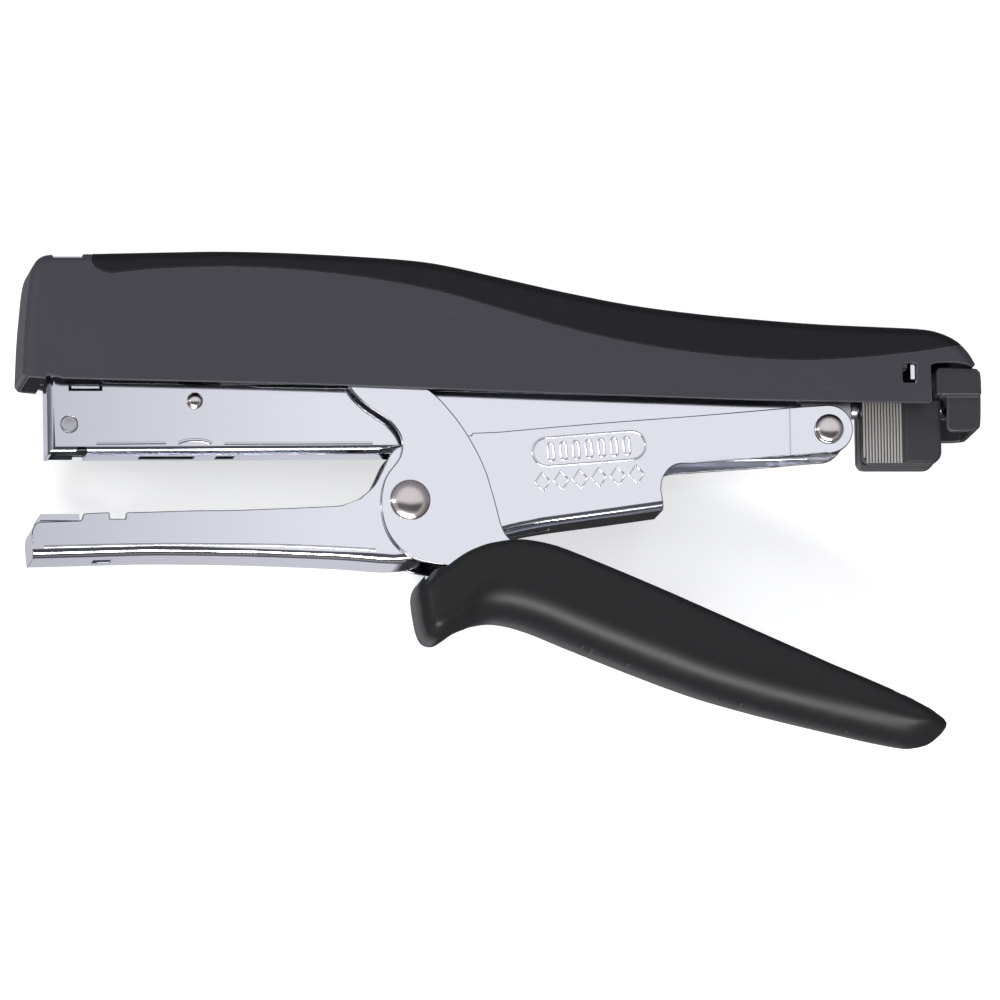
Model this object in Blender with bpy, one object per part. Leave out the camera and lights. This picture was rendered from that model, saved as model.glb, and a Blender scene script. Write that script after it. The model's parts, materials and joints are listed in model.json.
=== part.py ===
"""Plier stapler on its right side: +X towards the rear, +Y towards the cover, +Z up through its left side."""

import math

import bmesh
import bpy
from mathutils import Matrix, Vector

MM = 0.001

# Half widths of the nested layers, from the tool's middle plane out to its sides, in mm
RAIL = 5.5
STAPLE_GAP = 1.0
HOUSING_IN = RAIL + STAPLE_GAP
SHEET = 1.0
HOUSING_OUT = HOUSING_IN + SHEET
LAYER_GAP = 0.3
BEAM_IN = HOUSING_OUT + LAYER_GAP
BEAM_OUT = BEAM_IN + SHEET
ARM_SHEET = 1.5
ARM_IN = BEAM_OUT + LAYER_GAP
ARM_OUT = ARM_IN + ARM_SHEET
LEVER_SHEET = 1.6
LEVER_IN = ARM_OUT + LAYER_GAP
LEVER_OUT = LEVER_IN + LEVER_SHEET
SHELL_WALL = 1.7
SHELL_IN = LEVER_OUT + LAYER_GAP
SHELL_OUT = SHELL_IN + SHELL_WALL

# Pivots, in the plane of the tool
MAIN_PIVOT = (-24.1, -1.4)
REAR_PIVOT = (85.3, 17.4)
CAM_REACH = (-20.0, 35.0)
CAM_PIN = (MAIN_PIVOT[0] + CAM_REACH[0], MAIN_PIVOT[1] + CAM_REACH[1])

# One full squeeze of the handle, and what it turns
SQUEEZE = 26.0
JAW_CLOSE = 4.0
DRIVER_STROKE = 3.2

# Round stock
MAIN_RIVET_R = 3.0
REAR_RIVET_R = 2.5
CAM_PIN_R = 2.0
ROD_R = 1.5
RUNNING = 0.1
ROD_Y = 24.2

# Magazine
NOSE_X = -117.5
WEB_Y = 11.2
RAIL_TOP = 21.0
RAIL_FRONT = -113.9
BLADE_X = (-115.15, -114.5)
RAIL_REAR = 80.0
FOLLOWER_LENGTH = 15.6
FOLLOWER_TOP = 26.9

# Loader
BLOCK_X = (94.4, 112.8)
PAD_X = (94.4, 115.0)
PAD_Y = (8.7, 25.3)
PAD_Z = (4.3, 8.0)
PAD_RIBS = 12
RIB_PITCH = 0.87
RIB_GAP = 0.4
RIB_DEPTH = 0.35
PAD_GUIDE = (104.0, 15.5)
PAD_GUIDE_R = 1.5

# Grip taper towards its free end
TAPER_FROM = 45.0
TAPER_TO = 116.0
TAPER = 0.26

COVER_TOP = [
    (-124.9, 32.2), (-124.3, 42.8), (-123.3, 51.9), (-122.4, 57.4), (-120.9, 60.6), (-118.6, 62.4),
    (-113.5, 63.2), (-104.5, 63.7), (-90.8, 64.1), (-77.8, 64.4), (-67.4, 64.4), (-55.1, 64.1),
    (-38.5, 63.3), (-24.0, 62.3), (-14.6, 61.2), (0.3, 57.7), (16.8, 53.9), (33.4, 50.7), (49.9, 48.5),
    (66.6, 46.9), (83.2, 45.7), (99.7, 45.0), (110.5, 44.4), (116.3, 43.0), (120.5, 40.6),
    (123.0, 37.8), (124.4, 35.0),
]
COVER_REST = [
    (123.2, 33.3), (118.6, 34.1), (112.3, 33.9), (111.4, 33.1), (111.6, 24.4), (110.6, 23.3),
    (90.0, 23.9), (65.3, 24.4), (32.2, 25.5), (-1.0, 26.6), (-39.7, 28.1), (-68.6, 28.8),
    (-92.0, 29.2), (-113.3, 29.7), (-117.4, 30.8), (-118.0, 29.7), (-123.2, 30.2),
]
INLAY_EDGE = [
    (-105.5, 63.0), (-105.7, 60.7), (-104.5, 59.0), (-102.8, 57.9), (-100.3, 57.4), (-94.6, 58.0),
    (-89.4, 58.5), (-79.0, 58.9), (-64.6, 58.9), (-48.0, 57.8), (-31.5, 55.8), (-15.0, 52.4),
    (-1.0, 48.4), (15.6, 43.6), (32.2, 39.7), (48.7, 37.0), (65.3, 35.4), (78.6, 34.9), (90.3, 35.4),
    (102.7, 36.5), (115.2, 38.2), (130.0, 41.0),
]
HOUSING_TOP = [
    (88.0, 24.9), (78.0, 25.3), (52.0, 25.9), (26.0, 26.6), (0.0, 27.3), (-16.0, 27.8), (-40.0, 28.3),
    (-62.0, 28.6), (-65.0, 29.1), (-102.0, 29.7), (-102.6, 30.1), (-103.2, 30.6), (-110.4, 30.6),
    (-110.9, 30.1), (-111.1, 29.4), (-112.2, 29.4), (-112.4, 31.8), (-116.9, 32.0), (NOSE_X, 31.4),
]
HOUSING_WEB = [(NOSE_X, WEB_Y), (-60.0, 11.3), (0.0, 11.7), (60.0, 12.1), (86.0, 12.4)]
HOUSING_REAR = [(89.8, 13.2), (91.8, 15.6), (92.2, 18.6), (91.2, 22.4)]
BEAM_TOP = [
    (-117.4, 45.0), (-115.6, 47.0), (-100.0, 48.6), (-60.0, 49.0), (-20.0, 48.0), (20.0, 44.0),
    (60.0, 39.4), (80.0, 36.4), (87.0, 33.0), (91.2, 27.0),
]
BEAM_LOWER = [
    (79.3, 19.4), (78.6, 24.4), (74.0, 27.6), (40.0, 29.4), (0.0, 29.6), (-30.0, 29.2), (-72.0, 29.2),
    (-75.2, 31.4), (-75.2, 38.2), (-81.6, 38.2), (-81.6, 31.4), (-117.4, 31.4),
]
ARM_FRONT_TOP = [
    (-121.7, -9.4), (-121.1, -7.4), (-119.6, -6.8), (-109.0, -6.5), (-108.4, -4.6), (-101.9, -4.3),
    (-101.5, -6.0), (-97.5, -6.0), (-97.1, -4.3), (-91.5, -4.2), (-78.5, -3.8), (-68.1, -3.7),
    (-44.7, -2.75), (-40.8, -2.2), (-36.9, -0.8), (-35.1, 0.75), (-33.0, 2.8), (-31.5, 5.7),
    (-30.2, 8.3), (-29.1, 10.4), (-27.8, 11.9), (-26.5, 12.7),
]
ARM_REAR_TOP = [
    (-20.0, 14.6), (-12.0, 16.2), (-7.6, 16.4), (-0.5, 16.6), (12.5, 17.9), (25.5, 19.0),
    (38.5, 20.0), (51.5, 20.8), (72.3, 22.6), (77.5, 23.2),
]
ARM_REAR_LOWER = [
    (77.5, 10.4), (72.3, 10.1), (51.5, 8.55), (46.3, 8.3), (44.2, 7.5), (42.6, 5.95), (41.8, 4.4),
    (41.3, 2.3), (41.3, 0.75), (41.8, -1.1),
]
ARM_WEB = [
    (-121.4, -16.2), (-112.7, -16.0), (-102.3, -15.7), (-89.3, -15.35), (-65.9, -15.7),
    (-42.5, -16.6), (-32.1, -17.4), (-26.9, -17.55), (-20.4, -16.5), (-10.0, -13.0), (3.7, -9.3),
    (13.35, -7.5), (27.65, -5.6), (42.0, -3.6),
]
LEVER_LEFT = [
    (-39.8, 28.5), (-37.7, 25.5), (-34.6, 22.9), (-32.0, 21.3), (-29.4, 19.5), (-27.5, 17.1),
    (-26.5, 15.1), (-26.0, 12.7), (-26.5, 9.9), (-27.8, 8.0), (-29.4, 6.2), (-30.7, 3.6), (-31.4, 0.75),
    (-31.7, -2.1), (-31.4, -5.2), (-30.7, -8.3), (-29.4, -11.2), (-27.3, -13.8), (-24.2, -16.1),
    (-20.8, -17.4), (-19.9, -18.6),
]
LEVER_RIGHT = [
    (2.5, -12.4), (0.3, -9.9), (-0.8, -7.8), (-1.8, -2.9), (-2.9, 1.3), (-4.2, 5.7), (-6.0, 10.1),
    (-8.6, 14.9), (-11.2, 19.0), (-13.8, 22.3), (-15.9, 24.7), (-19.0, 27.2), (-26.0, 32.6),
    (-35.0, 37.0),
]
LEVER_WEB = [
    (-19.6, -26.9), (1.9, -29.0), (13.9, -32.1), (32.9, -38.1), (60.0, -46.5), (90.0, -55.0), (107.6, -60.1),
]
LEVER_INNER_TOP = [
    (106.0, -55.8), (84.0, -46.0), (66.0, -37.6), (52.0, -31.6), (28.0, -21.4), (12.0, -15.2),
]
GRIP_TOP = [
    (-17.5, -19.2), (-14.9, -18.9), (-10.2, -15.3), (-3.7, -12.7), (1.9, -11.8), (6.6, -11.9),
    (12.1, -13.0), (16.8, -14.6), (28.8, -19.5), (52.1, -29.5), (66.0, -35.5), (84.6, -44.0),
    (103.2, -52.3), (110.1, -55.0), (114.2, -56.5), (116.4, -58.1),
]
GRIP_LOWER = [
    (114.8, -60.7), (111.5, -62.8), (107.8, -64.2), (104.0, -64.2), (95.7, -62.4), (77.2, -57.9),
    (67.9, -55.6), (54.9, -52.0), (45.5, -48.7), (34.5, -44.2), (25.2, -40.6), (15.9, -36.8),
    (6.5, -33.1), (2.0, -31.7), (-2.7, -31.2), (-7.3, -31.7), (-11.0, -32.8), (-13.8, -35.0),
    (-16.1, -36.6), (-18.0, -36.6), (-19.9, -35.4), (-21.1, -31.7), (-21.9, -26.1), (-21.8, -23.6),
    (-20.6, -21.2),
]
CAP_OUTLINE = [
    (113.2, 33.3), (113.2, 26.1), (115.9, 25.5), (115.9, 17.6), (117.0, 16.5), (123.6, 16.9),
    (124.8, 18.2), (125.0, 25.0), (124.9, 31.0), (124.0, 32.8), (122.4, 33.0),
]


def empty_scene():
    for obj in list(bpy.data.objects):
        bpy.data.objects.remove(obj, do_unlink=True)


def new_collection(name, helper=False):
    made = bpy.data.collections.new(name)
    bpy.context.scene.collection.children.link(made)
    made.hide_render = helper
    return made


def new_material(name, colour, roughness, metallic):
    made = bpy.data.materials.new(name)
    made.use_nodes = True
    surface = made.node_tree.nodes["Principled BSDF"]
    surface.inputs["Base Color"].default_value = (*colour, 1.0)
    surface.inputs["Roughness"].default_value = roughness
    surface.inputs["Metallic"].default_value = metallic
    return made


def new_empty(name, x, y, parent=None):
    """An axis across the tool, on its middle plane."""
    made = bpy.data.objects.new(name, None)
    parts.objects.link(made)
    made.empty_display_size = 10 * MM
    made["at"] = (x, y)
    made.parent = parent
    made.location = Vector((x, y, 0.0 if parent else SHELL_OUT)) * MM
    return made


def object_from(mesh, name, carrier, helper):
    """The object with its origin on its carrier's axis."""
    made = bpy.data.objects.new(name, mesh)
    (cutters if helper else parts).objects.link(made)
    made.data.transform(Matrix.Translation((-carrier["at"][0] * MM, -carrier["at"][1] * MM, 0)))
    made.parent = carrier
    if helper:
        made.hide_render = True
        made.display_type = "WIRE"
    return made


def mesh_from(bm, name):
    bmesh.ops.remove_doubles(bm, verts=bm.verts, dist=1e-7)
    bmesh.ops.recalc_face_normals(bm, faces=bm.faces)
    mesh = bpy.data.meshes.new(name)
    bm.to_mesh(mesh)
    bm.free()
    return mesh


def arc(centre, radius, start, end, steps):
    """Points of an arc, with its angles in degrees."""
    found = []
    for i in range(steps + 1):
        angle = math.radians(start + (end - start) * i / steps)
        found.append((centre[0] + radius * math.cos(angle), centre[1] + radius * math.sin(angle)))
    return found


def beside(path, distance):
    """The open path moved sideways, to the right of its direction when distance is positive."""
    moved = []
    for i, here in enumerate(path):
        before = Vector(path[max(i - 1, 0)])
        after = Vector(path[min(i + 1, len(path) - 1)])
        along = (after - before).normalized()
        moved.append((here[0] + along.y * distance, here[1] - along.x * distance))
    return moved


def slab(outline, low, high, soft=(), radius=0.0, segments=2):
    """The outline as a plate from z = low to z = high, with the edges along the soft points rounded."""
    bm = bmesh.new()
    corners = [bm.verts.new((x * MM, y * MM, low * MM)) for x, y in outline]
    face = bm.faces.new(corners)
    raised = bmesh.ops.extrude_face_region(bm, geom=[face])["geom"]
    lifted = [item for item in raised if isinstance(item, bmesh.types.BMVert)]
    bmesh.ops.translate(bm, verts=lifted, vec=(0, 0, (high - low) * MM))
    if radius:
        wanted = {(round(x, 4), round(y, 4)) for x, y in soft}
        rim = [edge for edge in bm.edges if on_path(edge, wanted)]
        bmesh.ops.bevel(
            bm, geom=rim, offset=radius * MM, segments=segments, profile=0.5, affect="EDGES", clamp_overlap=True
        )
    return bm


def on_path(edge, wanted):
    first, last = edge.verts
    if abs(first.co.z - last.co.z) > 1e-7:
        return False
    return all((round(v.co.x / MM, 4), round(v.co.y / MM, 4)) in wanted for v in (first, last))


def plate(name, outline, low, high, carrier, helper=False, **rounding):
    return object_from(mesh_from(slab(outline, low, high, **rounding), name), name, carrier, helper)


def block(name, x, y, z, carrier, helper=False, radius=0.0):
    """A box from its three spans in mm."""
    bm = bmesh.new()
    bmesh.ops.create_cube(bm, size=1.0)
    for vert in bm.verts:
        for axis, span in enumerate((x, y, z)):
            vert.co[axis] = (span[0] + span[1]) / 2 * MM + vert.co[axis] * (span[1] - span[0]) * MM
    if radius:
        bmesh.ops.bevel(bm, geom=list(bm.edges), offset=radius * MM, segments=2, profile=0.5, affect="EDGES")
    return object_from(mesh_from(bm, name), name, carrier, helper)


def round_bar(name, start, end, radius, carrier, helper=False, segments=24):
    """A cylinder between two points in mm."""
    bm = bmesh.new()
    first, last = Vector(start) * MM, Vector(end) * MM
    turn = (last - first).to_track_quat("Z", "Y").to_matrix().to_4x4()
    place = Matrix.Translation((first + last) / 2) @ turn
    bmesh.ops.create_cone(
        bm, cap_ends=True, segments=segments, radius1=radius * MM, radius2=radius * MM,
        depth=(last - first).length, matrix=place,
    )
    return object_from(mesh_from(bm, name), name, carrier, helper)


def turned(name, centre, profile, carrier, segments=24):
    """A solid turned about the z direction through centre, from (radius, z) points between its axis."""
    bm = bmesh.new()
    verts = [bm.verts.new(((centre[0] + r) * MM, centre[1] * MM, z * MM)) for r, z in profile]
    edges = [bm.edges.new(pair) for pair in zip(verts, verts[1:])]
    middle = (centre[0] * MM, centre[1] * MM, 0)
    whole = 2 * math.pi
    bmesh.ops.spin(bm, geom=verts + edges, cent=middle, axis=(0, 0, 1), angle=whole, steps=segments)
    return object_from(mesh_from(bm, name), name, carrier, False)


def coil(name, points, wire, carrier):
    """A closed wire along points in mm."""
    curve = bpy.data.curves.new(name, "CURVE")
    curve.dimensions = "3D"
    curve.bevel_depth = wire * MM
    curve.bevel_resolution = 1
    curve.use_fill_caps = True
    line = curve.splines.new("POLY")
    line.points.add(len(points) - 1)
    for point, place in zip(line.points, points):
        point.co = (*(Vector(place) * MM), 1.0)
    rough = bpy.data.objects.new(name + "_wire", curve)
    mesh = bpy.data.meshes.new_from_object(rough)
    bpy.data.objects.remove(rough)
    bm = bmesh.new()
    bm.from_mesh(mesh)
    return object_from(mesh_from(bm, name), name, carrier, False)


def helix(centre, axis, radius, start, length, turns, steps=8):
    """Points of a helix about an axis (0, 1 or 2 for x, y or z) through centre, starting at start along it."""
    u, v, w = [Vector([float(i == (axis + turn) % 3) for i in range(3)]) for turn in (1, 2, 3)]
    found = []
    count = int(turns * steps)
    for i in range(count + 1):
        angle = 2 * math.pi * i / steps
        along = start + length * i / count
        found.append(Vector(centre) + u * radius * math.cos(angle) + v * radius * math.sin(angle) + w * along)
    return found


def cut(target, tool, operation="DIFFERENCE"):
    modifier = target.modifiers.new(tool.name, "BOOLEAN")
    modifier.object = tool
    modifier.operation = operation
    modifier.solver = "EXACT"


def paint(material, *objects):
    for obj in objects:
        obj.data.materials.clear()
        obj.data.materials.append(material)


def turn_about(point, centre, degrees):
    angle = math.radians(degrees)
    dx, dy = point[0] - centre[0], point[1] - centre[1]
    return (
        centre[0] + dx * math.cos(angle) - dy * math.sin(angle),
        centre[1] + dx * math.sin(angle) + dy * math.cos(angle),
    )


def cam_path(steps):
    """Where the cam pin runs in the driver beam over one squeeze."""
    found = []
    for i in range(steps + 1):
        share = i / steps
        pin = turn_about(CAM_PIN, MAIN_PIVOT, SQUEEZE * share)
        pin = turn_about(pin, REAR_PIVOT, -JAW_CLOSE * share)
        found.append(turn_about(pin, REAR_PIVOT, -DRIVER_STROKE * share))
    return found


def taper(obj):
    """Draws both sides of a handle piece in towards the middle plane past TAPER_FROM."""
    shift = obj.parent["at"][0]
    bm = bmesh.new()
    bm.from_mesh(obj.data)
    geometry = list(bm.verts) + list(bm.edges) + list(bm.faces)
    bmesh.ops.bisect_plane(bm, geom=geometry, plane_co=((TAPER_FROM - shift) * MM, 0, 0), plane_no=(1, 0, 0))
    for vert in bm.verts:
        past = (vert.co.x / MM + shift - TAPER_FROM) / (TAPER_TO - TAPER_FROM)
        vert.co.z *= 1 - TAPER * max(past, 0.0)
    bm.to_mesh(obj.data)
    bm.free()


def magazine(frame):
    outline = HOUSING_WEB + HOUSING_REAR + HOUSING_TOP
    housing = plate("magazine_housing", outline, -HOUSING_OUT, HOUSING_OUT, frame, soft=HOUSING_WEB, radius=1.0)
    floor = [(x, y + SHEET) for x, y in HOUSING_WEB[1:]]
    inside = [(NOSE_X + 1.2, WEB_Y + SHEET)] + floor + [(100.0, 13.6), (100.0, 40.0), (NOSE_X + 1.2, 40.0)]
    cut(housing, plate("housing_inside", inside, -HOUSING_IN, HOUSING_IN, frame, True))
    cut(housing, block("staple_exit", (NOSE_X + 1.2, -109.5), (5, 13), (-HOUSING_IN, HOUSING_IN), frame, True))
    cut(housing, block("side_notch", (-109.5, -106.9), (5, 12.8), (-10, 10), frame, True))
    for i, span in enumerate([(-92.7, -78.6), (-72.9, -68.3)]):
        cut(housing, block(f"web_slot_{i}", span, (5, 14), (-2.6, 2.6), frame, True))
    holes = [((-111.4, 18.9), 2.15), ((-78.9, 25.0), 1.3), (REAR_PIVOT, REAR_RIVET_R + RUNNING)]
    for i, ((x, y), radius) in enumerate(holes):
        cut(housing, round_bar(f"housing_hole_{i}", (x, y, -10), (x, y, 10), radius, frame, True))
    rail_outline = [
        (RAIL_FRONT, 12.5), (40.0, 13.15), (RAIL_REAR, 13.5), (RAIL_REAR, RAIL_TOP), (RAIL_FRONT, RAIL_TOP),
    ]
    rail = plate("magazine_rail", rail_outline, -RAIL, RAIL, frame, soft=rail_outline[3:], radius=0.5)
    cut(rail, block("rail_inside", (-120, 90), (5, RAIL_TOP - 0.9), (-RAIL + 0.9, RAIL - 0.9), frame, True))
    seat_half = HOUSING_IN - 0.02
    seat = block("spring_seat", (13, 27), (FOLLOWER_TOP + LAYER_GAP, 28.4), (-seat_half, seat_half), frame)
    paint(chrome, housing)
    paint(steel, rail, seat)
    for side, sign in (("left", 1), ("right", -1)):
        flush = [(0, sign * 6.6), (2.05, sign * 6.6), (2.05, sign * 7.4), (1.7, sign * 7.55), (0, sign * 7.55)]
        stop = [
            (0, sign * 6.6), (1.2, sign * 6.6), (1.2, sign * 7.7), (2.1, sign * 7.7), (1.9, sign * 8.3),
            (1.2, sign * 8.9), (0, sign * 9.05),
        ]
        rear = [
            (0, sign * 6.6), (REAR_RIVET_R, sign * 6.6), (REAR_RIVET_R, sign * 10.7), (3.8, sign * 10.7),
            (3.7, sign * 11.4), (2.8, sign * 12.2), (1.5, sign * 12.5), (0, sign * 12.6),
        ]
        paint(
            steel,
            turned(f"nose_rivet_{side}", (-111.4, 18.9), flush, frame),
            turned(f"stop_pin_{side}", (-78.9, 25.0), stop, frame),
            turned(f"rear_rivet_{side}", REAR_PIVOT, rear, frame),
        )


def shell_core(name, inset, width, carrier, radius):
    """The space inside the cover, inset from its outside, open below."""
    path = beside(COVER_TOP, inset)
    outline = path + [(path[-1][0], 5.0), (path[0][0], 5.0)]
    return plate(name, outline, -width, width, carrier, True, soft=path[2:], radius=radius)


def driver(rear):
    outline = COVER_TOP + COVER_REST
    soft = COVER_TOP
    cover = plate("top_cover", outline, -SHELL_OUT, SHELL_OUT, rear, soft=soft, radius=2.6)
    outside = plate("inlay_outside", outline, -SHELL_OUT, SHELL_OUT, rear, True, soft=soft, radius=2.6)
    cut(cover, shell_core("cover_inside", SHELL_WALL, SHELL_IN, rear, 1.4))
    band = INLAY_EDGE + [(130.0, 75.0), (-105.5, 75.0)]
    seat = plate("inlay_seat", band, -20, 20, rear, True)
    cut(seat, shell_core("inlay_back", 0.9, SHELL_OUT - 0.9, rear, 2.0))
    cut(cover, seat)
    raised = beside(INLAY_EDGE, -0.12)
    raised += [(131.0, 74.0), (raised[0][0], 74.0)]
    inlay = plate("cover_inlay", raised, -19, 19, rear)
    cut(inlay, outside, "INTERSECT")
    cut(inlay, shell_core("inlay_gap", 0.78, SHELL_OUT - 0.78, rear, 2.05))
    cut(cover, block("top_notch", (-115.7, -107.9), (61.9, 70), (-20, 20), rear, True))
    cut(cover, block("clip_opening", (-113.6, -109.7), (55, 70), (-6.2, 6.2), rear, True))
    cut(cover, block("side_window", (103.8, 107.7), (28.8, 34.1), (-20, 20), rear, True))
    ear = arc(REAR_PIVOT, 6.1, 10, -190, 10)
    beam_outline = BEAM_TOP + ear + BEAM_LOWER[1:]
    beam = plate("driver_beam", beam_outline, -BEAM_OUT, BEAM_OUT, rear, soft=BEAM_TOP, radius=0.9)
    under = beside(BEAM_TOP, SHEET)
    core = under + [(100.0, under[-1][1]), (100.0, 5.0), (-125.0, 5.0), (-125.0, under[0][1])]
    cut(beam, plate("beam_inside", core, -BEAM_IN, BEAM_IN, rear, True))
    cut(beam, round_bar("beam_hole", (*REAR_PIVOT, -10), (*REAR_PIVOT, 10), REAR_RIVET_R + RUNNING, rear, True))
    path = cam_path(6)
    clear = CAM_PIN_R + LAYER_GAP
    sides = arc(path[0], clear, -110, 70, 8) + beside(path, clear)[1:-1]
    sides += arc(path[-1], clear, 70, 250, 8) + beside(path, -clear)[1:-1][::-1]
    cut(beam, plate("cam_slot", sides, -10, 10, rear, True))
    blade = block("driver_blade", BLADE_X, (22.6, 45.4), (-6.0, 6.0), rear)
    holder = block("blade_holder", (-114.2, -107.5), (40.2, 45.4), (-6.1, 6.1), rear, radius=0.6)
    front = block("front_clip", (-113.2, -110.1), (52.0, 60.6), (-5.6, 5.6), rear)
    cut(front, block("front_clip_inside", (-112.4, -105.0), (50.0, 59.8), (-7.0, 7.0), rear, True))
    back = block("rear_clip", (106.3, 108.4), (30.2, 37.4), (-12.5, 12.5), rear)
    cut(back, block("rear_clip_inside", (100, 112), (25, 36.4), (-11.6, 11.6), rear, True))
    spring = coil("driver_spring", helix((20, 0, 0), 1, 4.4, 29.2, 12.6, 5), 0.6, rear)
    paint(black, cover)
    paint(soft_black, inlay)
    paint(steel, beam, blade, holder, front, back, spring)


def anvil(arm):
    ear = arc(REAR_PIVOT, 6.3, 95, -95, 12)
    outline = ARM_FRONT_TOP + ARM_REAR_TOP + ear + ARM_REAR_LOWER + ARM_WEB[::-1]
    body = plate("anvil_arm", outline, -ARM_OUT, ARM_OUT, arm, soft=ARM_WEB, radius=1.6)
    floor = [(x, y + ARM_SHEET) for x, y in ARM_WEB[1:]]
    core = [(-120.2, -14.7)] + floor
    core += [(44.0, -1.9), (44.0, -12.0), (110, -12.0), (110, 60), (-120.2, 60)]
    cut(body, plate("arm_inside", core, -ARM_IN, ARM_IN, arm, True))
    cut(body, block("tip_top", (-125, -120), (-7.6, 10), (-8.4, 8.4), arm, True))
    cut(body, block("spring_slot", (-18.5, 13.0), (-24, -3), (-1.7, 1.7), arm, True))
    cut(body, block("web_slot", (-105.0, -100.6), (-20, -10), (-3.0, 3.0), arm, True))
    for i, ((x, y), radius) in enumerate([(MAIN_PIVOT, MAIN_RIVET_R), (REAR_PIVOT, REAR_RIVET_R)]):
        cut(body, round_bar(f"arm_hole_{i}", (x, y, -20), (x, y, 20), radius + RUNNING, arm, True))
    pad = block("anvil_plate", (-119.4, -109.3), (-12.0, -4.7), (-9.9, 9.9), arm)
    for i, sign in enumerate((1, -1)):
        span = sorted((sign * (ARM_IN - 0.3), sign * 15))
        cut(pad, block(f"plate_side_{i}", (-125, -100), (-20, -6.3), span, arm, True))
        groove = sorted((sign * 0.7, sign * 6.6))
        cut(pad, block(f"plate_groove_{i}", (-115.9, -114.4), (-5.4, 0), groove, arm, True))
    head = [
        (0, -14.4), (2.4, -14.3), (4.4, -13.7), (5.2, -12.7), (MAIN_RIVET_R, -12.7), (MAIN_RIVET_R, 12.7),
        (5.2, 12.7), (4.4, 13.7), (2.4, 14.3), (0, 14.4),
    ]
    paint(chrome, body)
    paint(steel, pad)
    paint(nickel, turned("main_rivet", MAIN_PIVOT, head, arm))


def lever(main):
    lug = arc(CAM_PIN, 4.8, 100, 320, 10)
    outline = lug + LEVER_LEFT + LEVER_WEB + LEVER_INNER_TOP + LEVER_RIGHT
    body = plate("lever_arm", outline, -LEVER_OUT, LEVER_OUT, main, soft=LEVER_WEB, radius=1.6)
    floor = [(x, y + LEVER_SHEET) for x, y in LEVER_WEB[1:]]
    core = [(-60, -25.3), (-20, -25.3)] + floor + [(140, -58.5), (140, 60), (-60, 60)]
    inside = plate("lever_inside", core, -LEVER_IN, LEVER_IN, main, True)
    taper(body)
    taper(inside)
    cut(body, inside)
    for i, ((x, y), radius) in enumerate([(MAIN_PIVOT, MAIN_RIVET_R + RUNNING), (CAM_PIN, CAM_PIN_R + 0.05)]):
        cut(body, round_bar(f"lever_hole_{i}", (x, y, -20), (x, y, 20), radius, main, True))
    grip_outline = GRIP_TOP + GRIP_LOWER
    belly = GRIP_TOP[-1:] + GRIP_LOWER + GRIP_TOP[:1]
    grip = plate("lever_grip", grip_outline, -SHELL_OUT, SHELL_OUT, main, soft=belly, radius=4.2, segments=3)
    under = [(x, y - LAYER_GAP) for x, y in LEVER_WEB[1:]]
    pocket = [(-20.3, -27.3)] + under + [(108.9, -60.6), (108.9, 10), (-20.3, 10)]
    hollow = plate("grip_inside", pocket, -SHELL_IN, SHELL_IN, main, True)
    taper(grip)
    taper(hollow)
    cut(grip, hollow)
    pin = round_bar("cam_pin", (*CAM_PIN, -LEVER_OUT), (*CAM_PIN, LEVER_OUT), CAM_PIN_R, main)
    for side, sign in (("left", 1), ("right", -1)):
        ends = [(*CAM_PIN, sign * (BEAM_OUT + 0.2)), (*CAM_PIN, sign * (LEVER_IN - 0.2))]
        ring = round_bar(f"cam_washer_{side}", *ends, 3.4, main)
        hole = round_bar(f"washer_hole_{side}", (*CAM_PIN, -20), (*CAM_PIN, 20), CAM_PIN_R + 0.05, main, True)
        cut(ring, hole)
        paint(steel, ring)
    wire = helix((*MAIN_PIVOT, 0), 2, 4.5, -7.4, 7.4, 4.75, 12)
    wire += [Vector((MAIN_PIVOT[0] + 10, MAIN_PIVOT[1] - 11.5, 0)), Vector((5.0, -27.0, 0))]
    paint(chrome, body)
    paint(black, grip)
    paint(steel, pin, coil("lever_spring", wire, 0.7, main))


def loader(line):
    rod = round_bar("guide_rod", (-112.9, ROD_Y, 0), (119.0, ROD_Y, 0), ROD_R, line, segments=16)
    hole = round_bar("rod_hole", (60, ROD_Y, 0), (119.6, ROD_Y, 0), ROD_R + RUNNING, line, True, segments=16)
    collar = round_bar("rod_collar", (92.3, ROD_Y, 0), (94.1, ROD_Y, 0), 2.9, line, segments=16)
    core = block("latch_block", BLOCK_X, (PAD_Y[0], 29.0), (-2.8, 2.8), line, radius=0.5)
    cap = plate("end_cap", CAP_OUTLINE, -12.6, 12.6, line, soft=CAP_OUTLINE, radius=1.2)
    for sign in (1, -1):
        span = sorted((sign * 11.2, sign * 20))
        cut(cap, block(f"cap_step_{sign}", (110, 130), (10, 25.9), span, line, True))
    cut(cap, block("cap_inside", (110, 122.6), (10, 23.0), (-9.4, 9.4), line, True))
    for target in (collar, core, cap):
        cut(target, hole)
    ends = [(*PAD_GUIDE, -5), (*PAD_GUIDE, 5)]
    cut(core, round_bar("pad_guide_hole", *ends, PAD_GUIDE_R + 0.2, line, True, segments=16))
    paint(black, core, cap)
    paint(steel, rod, collar)


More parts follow.
